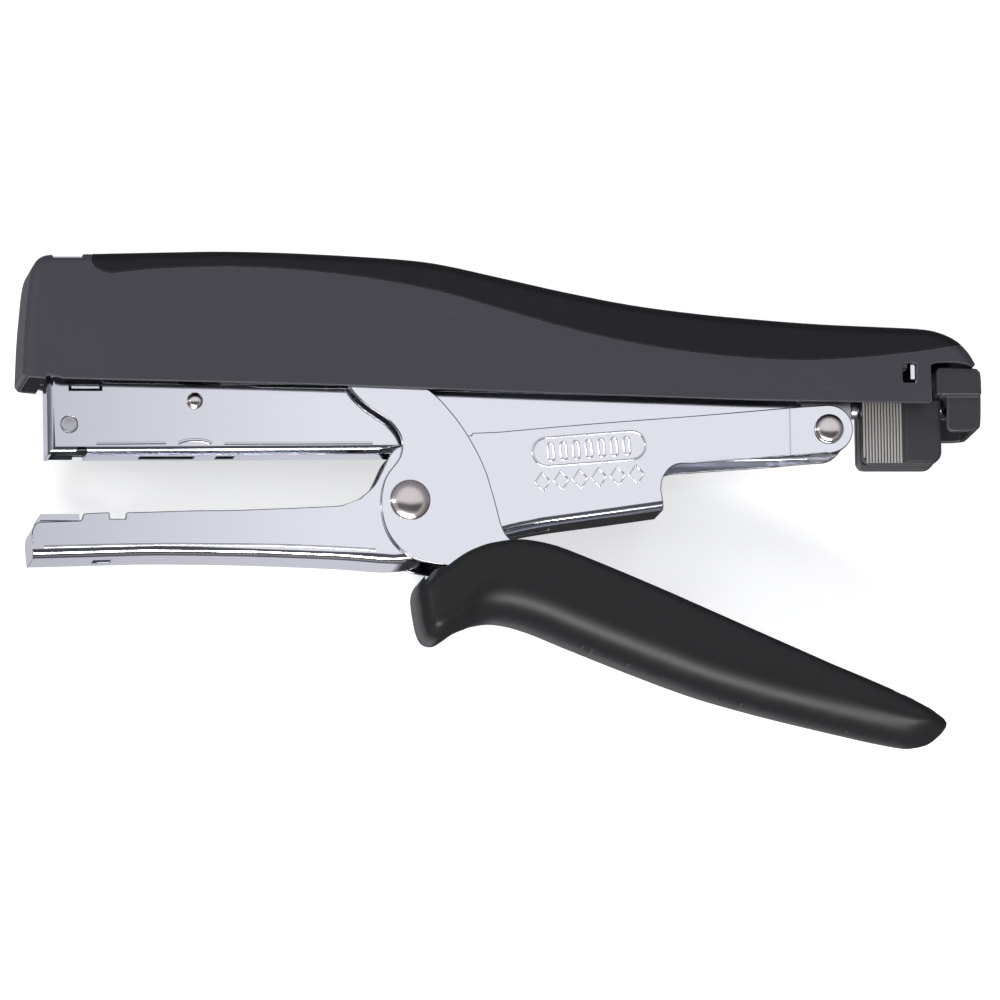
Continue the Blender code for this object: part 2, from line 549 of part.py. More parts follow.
def latch_pads(line):
    front, rear = PAD_X
    low, high = PAD_Y
    outline = [(front, high)] + arc((front + 2.6, low + 2.6), 2.6, 180, 270, 3)
    outline += arc((rear - 3.2, low + 3.2), 3.2, 270, 360, 3) + [(rear, high)]
    for side, sign in (("left", 1), ("right", -1)):
        pad = plate(f"latch_pad_{side}", outline, *sorted((sign * PAD_Z[0], sign * PAD_Z[1])), line)
        for i in range(PAD_RIBS):
            x = PAD_X[0] + 0.45 + RIB_PITCH * i
            span = sorted((sign * (PAD_Z[1] - RIB_DEPTH), sign * (PAD_Z[1] + 1)))
            cut(pad, block(f"rib_gap_{side}_{i}", (x, x + RIB_GAP), (0, 40), span, line, True))
        ends = [(*PAD_GUIDE, sign * 1.5), (*PAD_GUIDE, sign * 5.0)]
        cut(pad, round_bar(f"pad_guide_{side}", *ends, PAD_GUIDE_R, line, True, segments=16), "UNION")
        paint(black, pad)


def follower(line):
    start = RAIL_FRONT + 1.3
    body = block("follower", (start, start + FOLLOWER_LENGTH), (14.2, FOLLOWER_TOP), (-6.3, 6.3), line)
    cut(body, block("follower_inside", (-120, -90), (5, RAIL_TOP + 0.3), (-RAIL - 0.2, RAIL + 0.2), line, True))
    ends = [(-120, ROD_Y, 0), (-90, ROD_Y, 0)]
    cut(body, round_bar("follower_bore", *ends, ROD_R + RUNNING, line, True, segments=16))
    back = start + FOLLOWER_LENGTH
    reach = 92.3 - back
    points = helix((0, ROD_Y, 0), 0, 2.3, back + 0.7, reach - 1.4, 30)
    paint(steel, body, coil("pusher_spring", points, 0.35, line))


empty_scene()
parts = new_collection("plier_stapler")
cutters = new_collection("cutters", helper=True)
chrome = new_material("chrome", (0.80, 0.80, 0.84), 0.12, 1.0)
nickel = new_material("nickel", (0.55, 0.50, 0.47), 0.25, 1.0)
steel = new_material("steel", (0.58, 0.58, 0.60), 0.32, 1.0)
black = new_material("black_plastic", (0.045, 0.045, 0.05), 0.55, 0.0)
soft_black = new_material("soft_black", (0.018, 0.018, 0.02), 0.42, 0.0)

middle = new_empty("middle_plane", 0, 0)
magazine(new_empty("frame_base", 0, 0, middle))
driver(new_empty("driver_axis", *REAR_PIVOT, middle))
anvil(new_empty("jaw_axis", *REAR_PIVOT, middle))
lever(new_empty("lever_axis", *MAIN_PIVOT, middle))
loader(new_empty("loader_line", 0, ROD_Y, middle))
latch_pads(new_empty("pad_line", *PAD_GUIDE, middle))
follower(new_empty("follower_line", 0, ROD_Y, middle))
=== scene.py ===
"""Looks for the plier stapler: chromed sheet, black mouldings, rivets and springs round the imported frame."""

import json
import math

import bmesh
import bpy
import numpy as np
from mathutils import Matrix, Vector, geometry
from mathutils.bvhtree import BVHTree


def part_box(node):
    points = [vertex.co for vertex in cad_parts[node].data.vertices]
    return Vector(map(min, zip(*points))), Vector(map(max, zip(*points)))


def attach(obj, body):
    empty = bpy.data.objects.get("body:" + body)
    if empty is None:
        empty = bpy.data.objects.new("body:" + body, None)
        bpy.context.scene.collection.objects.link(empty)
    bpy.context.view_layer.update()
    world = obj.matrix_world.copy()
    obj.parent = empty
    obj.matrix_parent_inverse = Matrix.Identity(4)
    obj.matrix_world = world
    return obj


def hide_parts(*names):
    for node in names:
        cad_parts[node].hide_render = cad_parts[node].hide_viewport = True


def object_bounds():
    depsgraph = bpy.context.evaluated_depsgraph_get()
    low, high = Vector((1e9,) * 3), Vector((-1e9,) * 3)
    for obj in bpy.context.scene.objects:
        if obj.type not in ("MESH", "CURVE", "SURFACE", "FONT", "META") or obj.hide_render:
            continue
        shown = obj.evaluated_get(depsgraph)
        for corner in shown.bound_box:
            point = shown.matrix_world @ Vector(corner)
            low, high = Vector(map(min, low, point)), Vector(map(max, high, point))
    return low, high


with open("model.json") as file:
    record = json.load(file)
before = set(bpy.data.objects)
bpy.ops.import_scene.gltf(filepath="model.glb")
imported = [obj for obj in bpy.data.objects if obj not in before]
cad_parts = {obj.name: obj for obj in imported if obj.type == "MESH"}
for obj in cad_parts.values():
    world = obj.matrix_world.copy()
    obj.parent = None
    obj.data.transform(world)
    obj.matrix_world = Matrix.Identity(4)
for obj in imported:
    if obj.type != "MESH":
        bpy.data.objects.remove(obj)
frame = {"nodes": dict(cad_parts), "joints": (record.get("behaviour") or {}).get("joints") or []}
CAD_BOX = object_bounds()

MM = 0.001
MIDDLE = (CAD_BOX[0].z + CAD_BOX[1].z) / 2


def joint_place(name):
    """A hinge's place in the tool's plane, in mm."""
    place = next(j["pos_m"] for j in frame["joints"] if j["name"] == name)
    return (place[0] / MM, place[1] / MM)


def half_width(node):
    """How far a piece reaches from the tool's middle plane, in mm."""
    low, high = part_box(node)
    return (high.z - low.z) / 2 / MM


MAIN = joint_place("lever_squeeze")
REAR = joint_place("jaw_close")
CAM = (MAIN[0] - 20.0, MAIN[1] + 35.0)

# Half widths of the nested sheets and shells, in mm
HOUSING = half_width("magazine_housing")
BEAM = half_width("driver_beam")
ARM = half_width("anvil_arm")
LEVER = half_width("lever_arm")
SHELL = half_width("top_cover")
THIN_SHEET = 1.0
ARM_SHEET = 1.5
LEVER_SHEET = 1.6
SHELL_WALL = 1.7

# Round parts and their bores, in mm
ROD_Y = 24.2
ROD_RADIUS = 1.5
ROD_BORE = 1.6
MAIN_BORE = 3.05
REAR_BORE = 2.55
CAM_BORE = 2.05

# Half height of a cutter that passes through the whole tool, in mm
THROUGH = 20

COVER_BACK = [
    (-123.7, 32.4), (-123.1, 42.4), (-122.2, 51.5), (-121.6, 56.0), (-120.9, 58.8), (-119.6, 60.9),
    (-117.8, 62.0), (-115.7, 62.3), (-112.0, 62.4), (-104.5, 62.5), (-90.8, 62.8), (-77.8, 63.1),
    (-67.4, 63.1), (-55.1, 62.8),
    (-38.5, 62.0), (-24.0, 61.0), (-14.0, 59.6), (0.8, 56.3), (17.3, 52.6), (33.9, 49.4), (50.3, 47.2),
    (67.0, 45.6), (83.5, 44.4), (99.9, 43.7), (110.2, 43.1), (115.2, 41.9), (119.0, 39.9),
    (121.7, 37.2), (123.5, 34.2),
]
COVER_REAR = [
    (123.3, 33.6), (122.6, 33.4), (118.6, 34.2), (113.6, 34.2), (112.2, 33.8), (111.6, 33.0), (111.8, 24.9),
    (111.6, 24.1), (110.9, 23.6),
]
COVER_EDGE = [
    (110.9, 23.6), (90.0, 24.0), (65.3, 24.4), (32.2, 25.5), (-1.0, 26.6), (-39.7, 28.1),
    (-68.6, 28.9), (-92.0, 29.4), (-113.3, 29.9),
]
COVER_LIP = [(-117.4, 31.0), (-118.0, 29.9), (-122.6, 30.3), (-123.4, 31.0)]
INLAY_EDGE = [
    (-105.4, 61.8), (-105.6, 60.2), (-104.5, 58.6), (-102.8, 57.7), (-100.3, 57.3), (-94.6, 57.9),
    (-89.4, 58.4), (-79.0, 58.9), (-64.6, 58.9), (-48.0, 57.8), (-31.5, 55.7), (-15.0, 52.4),
    (-1.0, 48.4), (15.6, 43.6), (32.2, 39.7), (48.7, 37.0), (65.3, 35.4), (78.6, 34.9), (90.3, 35.4),
    (102.7, 36.5), (115.2, 38.2), (130.0, 41.0),
]
HOUSING_TOP = [
    (88.0, 24.9), (78.0, 25.3), (52.0, 25.9), (26.0, 26.6), (0.0, 27.3), (-16.0, 27.8), (-40.0, 28.3),
    (-62.0, 28.6), (-65.0, 29.1), (-102.0, 29.7), (-102.6, 30.1), (-103.2, 30.6), (-110.4, 30.6),
    (-110.9, 30.1), (-111.1, 29.4), (-112.2, 29.4), (-112.4, 31.8), (-117.0, 32.0),
]
HOUSING_WEB = [(-117.0, 11.2), (-60.0, 11.3), (0.0, 11.7), (60.0, 12.1), (86.0, 12.4)]
HOUSING_END = [(89.8, 13.2), (91.8, 15.6), (92.2, 18.6), (91.2, 22.4)]
ARM_TIP = [(-121.7, -10.4), (-121.6, -9.2), (-121.2, -8.0), (-120.5, -7.1), (-119.6, -6.8)]
ARM_BLADE = [(-91.5, -4.2), (-78.5, -3.8), (-68.1, -3.7), (-44.7, -2.75), (-40.8, -2.2), (-37.4, -1.0)]
ARM_THROAT = [
    (-37.4, -1.0), (-35.1, 0.75), (-33.0, 2.9), (-31.5, 5.5), (-30.2, 8.2), (-29.1, 10.3), (-27.8, 11.9),
    (-26.0, 12.9), (-20.0, 14.8),
]
ARM_BACK = [(-0.5, 16.6), (12.5, 17.8), (25.5, 18.9), (38.5, 19.9), (51.5, 20.9), (72.3, 22.7), (77.5, 23.2)]
ARM_BELLY = [
    (77.5, 10.5), (72.3, 10.1), (51.5, 8.6), (46.6, 8.3), (44.2, 7.5), (42.6, 5.9), (41.6, 3.9), (41.3, 1.6),
]
ARM_WEB = [
    (-121.4, -16.2), (-112.7, -16.0), (-102.3, -15.7), (-89.3, -15.4), (-65.9, -15.7), (-42.5, -16.6),
    (-32.1, -17.4), (-26.9, -17.5), (-20.4, -16.4), (-10.0, -13.0), (3.7, -9.3), (13.35, -7.5),
    (27.65, -5.6), (42.0, -3.6),
]
LEVER_FRONT = [
    (-39.8, 28.5), (-37.7, 25.7), (-34.6, 22.9), (-32.0, 21.1), (-29.4, 19.3), (-27.5, 17.2),
    (-26.3, 15.0), (-26.0, 12.4), (-26.5, 10.0), (-27.9, 7.9), (-29.5, 5.9), (-30.7, 3.6), (-31.4, 0.9),
    (-31.7, -2.1), (-31.4, -5.3), (-30.7, -8.3), (-29.3, -11.2), (-27.2, -13.8), (-24.2, -16.1),
    (-20.8, -17.4), (-16.5, -18.2), (-13.4, -18.9),
]
LEVER_BACK = [
    (2.5, -12.4), (0.5, -10.2), (-0.7, -7.4), (-1.8, -2.9), (-2.9, 1.3), (-4.2, 5.7), (-6.0, 10.1),
    (-8.5, 14.8), (-11.2, 19.0), (-13.8, 22.3), (-16.2, 25.0), (-19.0, 27.4), (-26.0, 32.6), (-35.0, 37.0),
]
LEVER_WEB = [
    (-11.0, -22.6), (1.9, -24.0), (13.9, -28.4), (32.9, -36.6), (60.0, -46.0), (90.0, -55.0), (99.0, -57.6),
]
LEVER_HIDDEN = [(98.0, -52.6), (84.0, -46.0), (66.0, -37.6), (52.0, -31.6), (28.0, -21.4), (12.0, -15.2)]
GRIP_TOP = [
    (-17.6, -19.2), (-15.0, -18.6), (-12.6, -16.9), (-10.0, -15.2), (-7.0, -13.8), (-3.7, -12.7),
    (1.9, -11.8), (6.6, -11.9), (12.1, -13.0), (16.8, -14.6), (28.8, -19.5), (40.0, -24.3), (52.1, -29.6),
    (66.0, -35.7), (84.6, -43.8), (93.8, -47.6), (103.2, -51.7), (108.4, -54.2), (111.6, -55.9),
]
GRIP_END = [(111.6, -55.9), (113.7, -57.3), (114.9, -58.6), (114.8, -59.9), (113.9, -61.3)]
GRIP_BELLY = [
    (113.9, -61.3), (112.4, -62.6), (110.4, -63.7), (107.2, -64.4), (103.8, -64.4), (95.7, -62.8),
    (86.5, -60.6), (77.2, -58.3), (67.9, -55.9), (54.9, -52.2), (45.5, -49.0), (34.5, -44.8),
    (25.2, -41.1), (15.9, -37.3), (10.5, -35.0), (6.5, -33.5), (2.0, -32.2), (-2.7, -31.6),
    (-7.3, -32.0),
]
GRIP_HOOK = [
    (-7.3, -32.0), (-11.0, -33.3), (-13.8, -35.2), (-16.1, -36.6), (-18.0, -36.7), (-19.6, -35.8),
    (-20.6, -33.8), (-21.2, -31.4), (-21.9, -26.6), (-21.9, -23.9), (-21.2, -21.8), (-19.6, -20.1),
    (-17.6, -19.2),
]
CAP_OUTLINE = [
    (113.2, 32.6), (113.2, 26.6), (113.8, 26.0), (115.9, 25.4), (115.9, 18.4), (116.3, 17.2), (117.6, 16.6),
    (122.6, 16.8), (124.2, 17.4), (124.8, 18.8), (125.0, 25.0), (124.9, 31.0), (124.3, 32.4), (122.8, 33.0),
    (114.0, 33.3),
]


# ---------- building in mesh ----------

def flow(points, steps=4):
    """A smooth line through the points, with steps spans between each pair."""
    found = []
    for i in range(len(points) - 1):
        near = [min(max(k, 0), len(points) - 1) for k in (i - 1, i, i + 1, i + 2)]
        a, b, c, d = [Vector(points[k]) for k in near]
        for k in range(steps):
            t = k / steps
            spot = 0.5 * (
                2 * b + (c - a) * t + (2 * a - 5 * b + 4 * c - d) * t * t + (3 * b - a - 3 * c + d) * t ** 3
            )
            found.append(tuple(spot))
    return found + [tuple(points[-1])]


def arc(centre, radius, start, end, steps):
    """Points of an arc, with its angles in degrees."""
    found = []
    for i in range(steps + 1):
        angle = math.radians(start + (end - start) * i / steps)
        found.append((centre[0] + radius * math.cos(angle), centre[1] + radius * math.sin(angle)))
    return found


def beside(path, distance):
    """The open path moved sideways, to the right of its direction when distance is positive."""
    moved = []
    for i, here in enumerate(path):
        along = (Vector(path[min(i + 1, len(path) - 1)]) - Vector(path[max(i - 1, 0)])).normalized()
        moved.append((here[0] + along.y * distance, here[1] - along.x * distance))
    return moved


def distinct(points, apart=0.02):
    """The outline with no point twice in a row."""
    kept = []
    for point in points:
        if not kept or (Vector(point) - Vector(kept[-1])).length > apart:
            kept.append(point)
    if (Vector(kept[0]) - Vector(kept[-1])).length < apart:
        kept.pop()
    return kept


def spot(x, y, z=0.0):
    """A place in the tool, in metres, from mm along, up and out from the middle plane."""
    return Vector((x * MM, y * MM, z * MM + MIDDLE))


def key(x, y):
    return (round(x, 3), round(y, 3))


def slab(outline, low, high, soft=(), radius=0.0, segments=4):
    """The outline as a plate between two heights from the middle plane, its rims along soft rounded."""
    bm = bmesh.new()
    corners = [bm.verts.new(spot(x, y, low)) for x, y in distinct(outline)]
    face = bm.faces.new(corners)
    raised = bmesh.ops.extrude_face_region(bm, geom=[face])["geom"]
    lifted = [item for item in raised if isinstance(item, bmesh.types.BMVert)]
    bmesh.ops.translate(bm, verts=lifted, vec=(0, 0, (high - low) * MM))
    if radius:
        wanted = {key(x, y) for x, y in soft}
        rim = [edge for edge in bm.edges if on_rim(edge, wanted)]
        bmesh.ops.bevel(
            bm, geom=rim, offset=radius * MM, segments=segments, profile=0.5, affect="EDGES",
            clamp_overlap=False,
        )
    bmesh.ops.recalc_face_normals(bm, faces=bm.faces)
    return bm


def on_rim(edge, wanted):
    """Whether a level edge of a plate runs along the wanted points."""
    if abs(edge.verts[0].co.z - edge.verts[1].co.z) > 1e-7:
        return False
    return all(key(v.co.x / MM, v.co.y / MM) in wanted for v in edge.verts)


def box(x, y, z):
    """A box from its three spans."""
    return slab([(x[0], y[0]), (x[1], y[0]), (x[1], y[1]), (x[0], y[1])], *z)


def rounded(x0, x1, y0, y1, radius, steps=5):
    """A rectangle's outline with rounded corners."""
    corners = ((x1 - radius, y0 + radius, 270), (x1 - radius, y1 - radius, 0),
               (x0 + radius, y1 - radius, 90), (x0 + radius, y0 + radius, 180))
    return [point for x, y, start in corners for point in arc((x, y), radius, start, start + 90, steps)]


def disc(centre, radius, low, high, steps=48):
    return slab(arc(centre, radius, 0, 360, steps)[:-1], low, high)


def bore(centre, radius, steps=48):
    """A cutter for a round hole through the whole tool."""
    return disc(centre, radius, -THROUGH, THROUGH, steps)


def through(outline):
    """A cutter of this outline through the whole tool."""
    return slab(outline, -THROUGH, THROUGH)


def bar_along(y, radius, start, end, steps=32):
    """A round bar along the tool's length on the middle plane."""
    bm = bmesh.new()
    place = Matrix.Translation(spot((start + end) / 2, y)) @ Matrix.Rotation(math.pi / 2, 4, "Y")
    bmesh.ops.create_cone(
        bm, cap_ends=True, segments=steps, radius1=radius * MM, radius2=radius * MM,
        depth=(end - start) * MM, matrix=place,
    )
    return bm


def turned(centre, profile, steps=64):
    """A round piece turned about its own axis across the tool, from (radius, height) points."""
    bm = bmesh.new()
    verts = [bm.verts.new(spot(centre[0] + r, centre[1], z)) for r, z in profile]
    edges = [bm.edges.new(pair) for pair in zip(verts, verts[1:])]
    bmesh.ops.spin(
        bm, geom=verts + edges, cent=spot(*centre), axis=(0, 0, 1), angle=2 * math.pi, steps=steps,
        use_duplicate=False,
    )
    bmesh.ops.remove_doubles(bm, verts=bm.verts, dist=1e-7)
    bmesh.ops.recalc_face_normals(bm, faces=bm.faces)
    return bm


def solid(name, bm):
    mesh = bpy.data.meshes.new(name)
    bm.to_mesh(mesh)
    bm.free()
    made = bpy.data.objects.new(name, mesh)
    bpy.context.scene.collection.objects.link(made)
    return made


def settle(obj):
    """Makes the modifiers' result the piece's own mesh."""
    graph = bpy.context.evaluated_depsgraph_get()
    fresh = bpy.data.meshes.new_from_object(obj.evaluated_get(graph))
    obj.modifiers.clear()
    obj.data = fresh


def carve(obj, *tools, way="DIFFERENCE"):
    """Cuts the tools from the piece, or joins them to it."""
    made = [solid("tool", bm) for bm in tools]
    for tool in made:
        modifier = obj.modifiers.new("carve", "BOOLEAN")
        modifier.object = tool
        modifier.operation = way
        modifier.solver = "EXACT"
    settle(obj)
    for tool in made:
        bpy.data.objects.remove(tool)


# A softened edge that lands further from its old surface than this share of its width is put back
STRAY = 0.5


def soften(obj, width=0.15, segments=2, angle=35, flat=True):
    """Breaks the sharp edges, as tumbling or a mould does, and marks them for wear and for the chrome's
    painted edge shade.
    """
    bm = bmesh.new()
    bm.from_mesh(obj.data)
    bmesh.ops.remove_doubles(bm, verts=bm.verts, dist=0.01 * MM)
    bmesh.ops.dissolve_limit(bm, angle_limit=math.radians(0.4), verts=bm.verts, edges=bm.edges)
    bmesh.ops.remove_doubles(bm, verts=bm.verts, dist=0.04 * MM)
    bmesh.ops.dissolve_degenerate(bm, edges=bm.edges, dist=0.005 * MM)
    before = BVHTree.FromBMesh(bm)
    bm.to_mesh(obj.data)
    bm.free()
    for _ in range(2):
        obj.data.materials.append(None)
    modifier = obj.modifiers.new("soften", "BEVEL")
    modifier.material = 1
    modifier.width = width * MM
    modifier.segments = segments
    modifier.limit_method = "ANGLE"
    modifier.angle_limit = math.radians(angle)
    modifier.use_clamp_overlap = False
    settle(obj)
    for vert in obj.data.vertices:
        near, _, _, away = before.find_nearest(vert.co)
        if away > STRAY * width * MM:
            vert.co = near
    rim = obj.data.attributes.new("rim", "FLOAT", "FACE")
    rim.data.foreach_set("value", [float(polygon.material_index == 1) for polygon in obj.data.polygons])
    obj.data.materials.clear()
    shade(obj, angle, flat)


def shade(obj, angle=35, flat=True):
    """Smooth shading that breaks at the remaining sharp edges and keeps flat faces flat."""
    for polygon in obj.data.polygons:
        polygon.use_smooth = True
    obj.data.set_sharp_from_angle(angle=math.radians(angle + 15))
    if flat:
        even = obj.modifiers.new("normals", "WEIGHTED_NORMAL")
        even.keep_sharp = True
        even.weight = 100
        settle(obj)


def wire(name, points, radius, closed=False, sides=3):
    """A round wire along points given in metres."""
    curve = bpy.data.curves.new(name, "CURVE")
    curve.dimensions = "3D"
    curve.bevel_depth = radius * MM
    curve.bevel_resolution = sides
    curve.use_fill_caps = not closed
    line = curve.splines.new("POLY")
    line.points.add(len(points) - 1)
    line.use_cyclic_u = closed
    for point, place in zip(line.points, points):
        point.co = (*place, 1.0)
    rough = bpy.data.objects.new(name + "_curve", curve)
    bpy.context.scene.collection.objects.link(rough)
    graph = bpy.context.evaluated_depsgraph_get()
    mesh = bpy.data.meshes.new_from_object(rough.evaluated_get(graph))
    bpy.data.objects.remove(rough)
    made = bpy.data.objects.new(name, mesh)
    bpy.context.scene.collection.objects.link(made)
    shade(made, 45)
    return made


def merge(obj, *others):
    """Takes the other pieces' meshes into this one."""
    bm = bmesh.new()
    bm.from_mesh(obj.data)
    for other in others:
        bm.from_mesh(other.data)
        bpy.data.objects.remove(other)
    bm.to_mesh(obj.data)
    bm.free()
    shade(obj, 35)


def place(obj, body, material, slot, *nodes):
    """Fixes a piece to its body, with its finish and the plain solids that it stands for."""
    obj.data.materials.clear()
    obj.data.materials.append(material)
    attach(obj, body)
    if nodes:
        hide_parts(*nodes)
    return obj


# ---------- finishes ----------

class Value:
    """A number on a surface, which adds its own Math nodes as it is worked with."""

    def __init__(self, finish, socket):
        self.finish = finish
        self.socket = socket

    def _with(self, way, a, b):
        return self.finish.node("ShaderNodeMath", {"operation": way}, {0: a, 1: b})

    def __add__(self, other):
        return self._with("ADD", self, other)

    __radd__ = __add__

    def __sub__(self, other):
        return self._with("SUBTRACT", self, other)

    def __rsub__(self, other):
        return self._with("SUBTRACT", other, self)

    def __mul__(self, other):
        return self._with("MULTIPLY", self, other)

    __rmul__ = __mul__

class Finish:
    """One material: nodes come from node(), and the surface takes its values from set()."""

    def __init__(self, name, **uniform):
        self.material = bpy.data.materials.new(name)
        self.material.use_nodes = True
        self.tree = self.material.node_tree
        self.surface = self.tree.nodes["Principled BSDF"]
        self.set(**uniform)

    def node(self, kind, settings=None, inputs=None, out=0):
        made = self.tree.nodes.new(kind)
        for name, value in (settings or {}).items():
            if name == "stops":
                self._stops(made.color_ramp, value)
            else:
                setattr(made, name, value)
        for name, value in (inputs or {}).items():
            self._feed(made.inputs[name], value)
        return Value(self, made.outputs[out])

    def set(self, **values):
        for name, value in values.items():
            self._feed(self.surface.inputs[name.replace("_", " ")], value)

    def _feed(self, socket, value):
        if isinstance(value, Value):
            self.tree.links.new(value.socket, socket)
        elif isinstance(value, tuple) and len(value) == 3 and len(socket.default_value) == 4:
            socket.default_value = (*value, 1.0)
        else:
            socket.default_value = value

    @staticmethod
    def _stops(ramp, stops):
        while len(ramp.elements) < len(stops):
            ramp.elements.new(0.5)
        for element, (position, shade_at) in zip(ramp.elements, stops):
            element.position = position
            element.color = (shade_at, shade_at, shade_at, 1.0)

    def place(self):
        return self.node("ShaderNodeTexCoord", out="Object")

    def cloud(self, scale, detail=2.0, stretch=(1, 1, 1)):
        """Soft noise, with scale in waves per metre."""
        spread = self.node("ShaderNodeMapping", {}, {"Vector": self.place(), "Scale": stretch})
        return self.node("ShaderNodeTexNoise", {}, {"Vector": spread, "Scale": scale, "Detail": detail})

    def band(self, value, low, high):
        """0 below low, 1 above high."""
        return self.node("ShaderNodeValToRGB", {"stops": [(low, 0.0), (high, 1.0)]}, {"Fac": value})

    def span(self, value, low, high):
        """0 at low and 1 at high, evenly between."""
        return self.node("ShaderNodeMapRange", {}, {"Value": value, "From Min": low, "From Max": high})

    def edges(self):
        """The softened edges, unevenly: where handling rubs them, and where the chrome gets its painted edge
        shade.
        """
        rim = self.node("ShaderNodeAttribute", {"attribute_name": "rim"}, out="Fac")
        return rim * (0.5 + self.cloud(320.0, 3.0) * 0.8)

    def blend(self, share, first, second):
        return self.node("ShaderNodeMix", {"data_type": "RGBA"}, {0: share, 6: first, 7: second}, out=2)

    def relief(self, height, strength, distance):
        return self.node("ShaderNodeBump", {}, {"Height": height, "Strength": strength, "Distance": distance})


# The plating dulls towards the nose, between these places along the tool, in metres
DULL_NOSE = -0.128
BRIGHT_FROM = -0.045
# Painted shade: the dark tone laid on the chrome's softened edges, standing in for the dark room mirrored in
# the rounded sheet edges and the shade between layers
PAINTED_EDGE_SHADE = (0.16, 0.16, 0.18)


def chrome_finish(name, light, rubbed, roughness):
    """Bright plate: a little ripple from the press, fine hairlines, edges rubbed rougher, and painted shade on
    the softened edges.
    """
    finish = Finish(name, Metallic=1.0)
    ripple = finish.cloud(55.0, 1.0)
    haze = finish.cloud(420.0, 3.0)
    hairs = finish.band(finish.cloud(260.0, 4.0, (0.35, 6.0, 1.0)), 0.66, 0.72)
    worn = finish.edges()
    along = finish.node("ShaderNodeSeparateXYZ", {}, {0: finish.place()})
    dulled = 1.0 - finish.span(along, DULL_NOSE, BRIGHT_FROM)
    plate = finish.blend(dulled * 0.85, light, rubbed)
    finish.set(
        # Painted shade: the softened edges darken towards the painted edge shade; their extra roughness below
        # is real wear
        Base_Color=finish.blend(worn * 0.75, plate, PAINTED_EDGE_SHADE),
        Roughness=roughness + haze * 0.04 + hairs * 0.06 + worn * 0.08,
        Normal=finish.relief(ripple, 0.10, 0.0004),
    )
    return finish.material


def steel_finish(name, light, dark, roughness):
    """Plain rolled steel with an oily film."""
    finish = Finish(name, Metallic=1.0)
    rolled = finish.cloud(700.0, 3.0, (0.15, 4.0, 4.0))
    film = finish.cloud(120.0, 3.0)
    finish.set(
        Base_Color=finish.blend(film, dark, light),
        Roughness=roughness + rolled * 0.12,
        Normal=finish.relief(rolled, 0.12, 0.00005),
    )
    return finish.material


def moulded_finish(name, dark, rubbed, roughness, grain, depth, gloss):
    """Black moulding: spark-etched grain, faint cloudiness, and edges rubbed paler by handling."""
    finish = Finish(name, Metallic=0.0, Specular_IOR_Level=gloss)
    etch = finish.cloud(grain, 2.0)
    cloudy = finish.cloud(45.0, 3.0)
    scuffs = finish.band(finish.cloud(130.0, 5.0, (0.5, 3.0, 1.0)), 0.68, 0.8)
    worn = finish.edges()
    finish.set(
        Base_Color=finish.blend(worn * 0.35 + scuffs * 0.12 + cloudy * 0.06, dark, rubbed),
        Roughness=roughness + cloudy * 0.06 - worn * 0.08 - scuffs * 0.05 + etch * 0.05,
        Normal=finish.relief(etch, depth, 0.00006),
    )
    return finish.material


CHROME = chrome_finish("bright_chrome", (0.845, 0.86, 0.915), (0.52, 0.53, 0.59), 0.06)
NICKEL = steel_finish("dark_nickel", (0.80, 0.755, 0.745), (0.66, 0.615, 0.605), 0.13)
STEEL = steel_finish("plain_steel", (0.60, 0.60, 0.62), (0.46, 0.46, 0.49), 0.28)
SPRING = steel_finish("spring_wire", (0.55, 0.52, 0.47), (0.40, 0.37, 0.34), 0.26)
COVER = moulded_finish(
    "cover_charcoal", (0.0355, 0.0335, 0.0415), (0.09, 0.09, 0.10), 0.52, 5200.0, 0.35, 0.30
)
INLAY = moulded_finish("soft_black", (0.0060, 0.0056, 0.0078), (0.03, 0.03, 0.033), 0.38, 7000.0, 0.10, 0.22)
GRIP = moulded_finish("grip_black", (0.009, 0.009, 0.0095), (0.045, 0.045, 0.048), 0.36, 3600.0, 0.40, 0.26)
LATCH = moulded_finish("latch_black", (0.026, 0.026, 0.030), (0.06, 0.06, 0.065), 0.38, 6000.0, 0.20, 0.35)
# Painted highlight: the pale grey of the latch ribs stands in for the bright glints on their crests
RIB_PAINTED_HIGHLIGHT = moulded_finish(
    "latch_rib_painted_highlight", (0.30, 0.29, 0.28), (0.42, 0.41, 0.40), 0.30, 6000.0, 0.10, 0.50
)


# ---------- magazine ----------

NOSE_INSIDE = -116.2


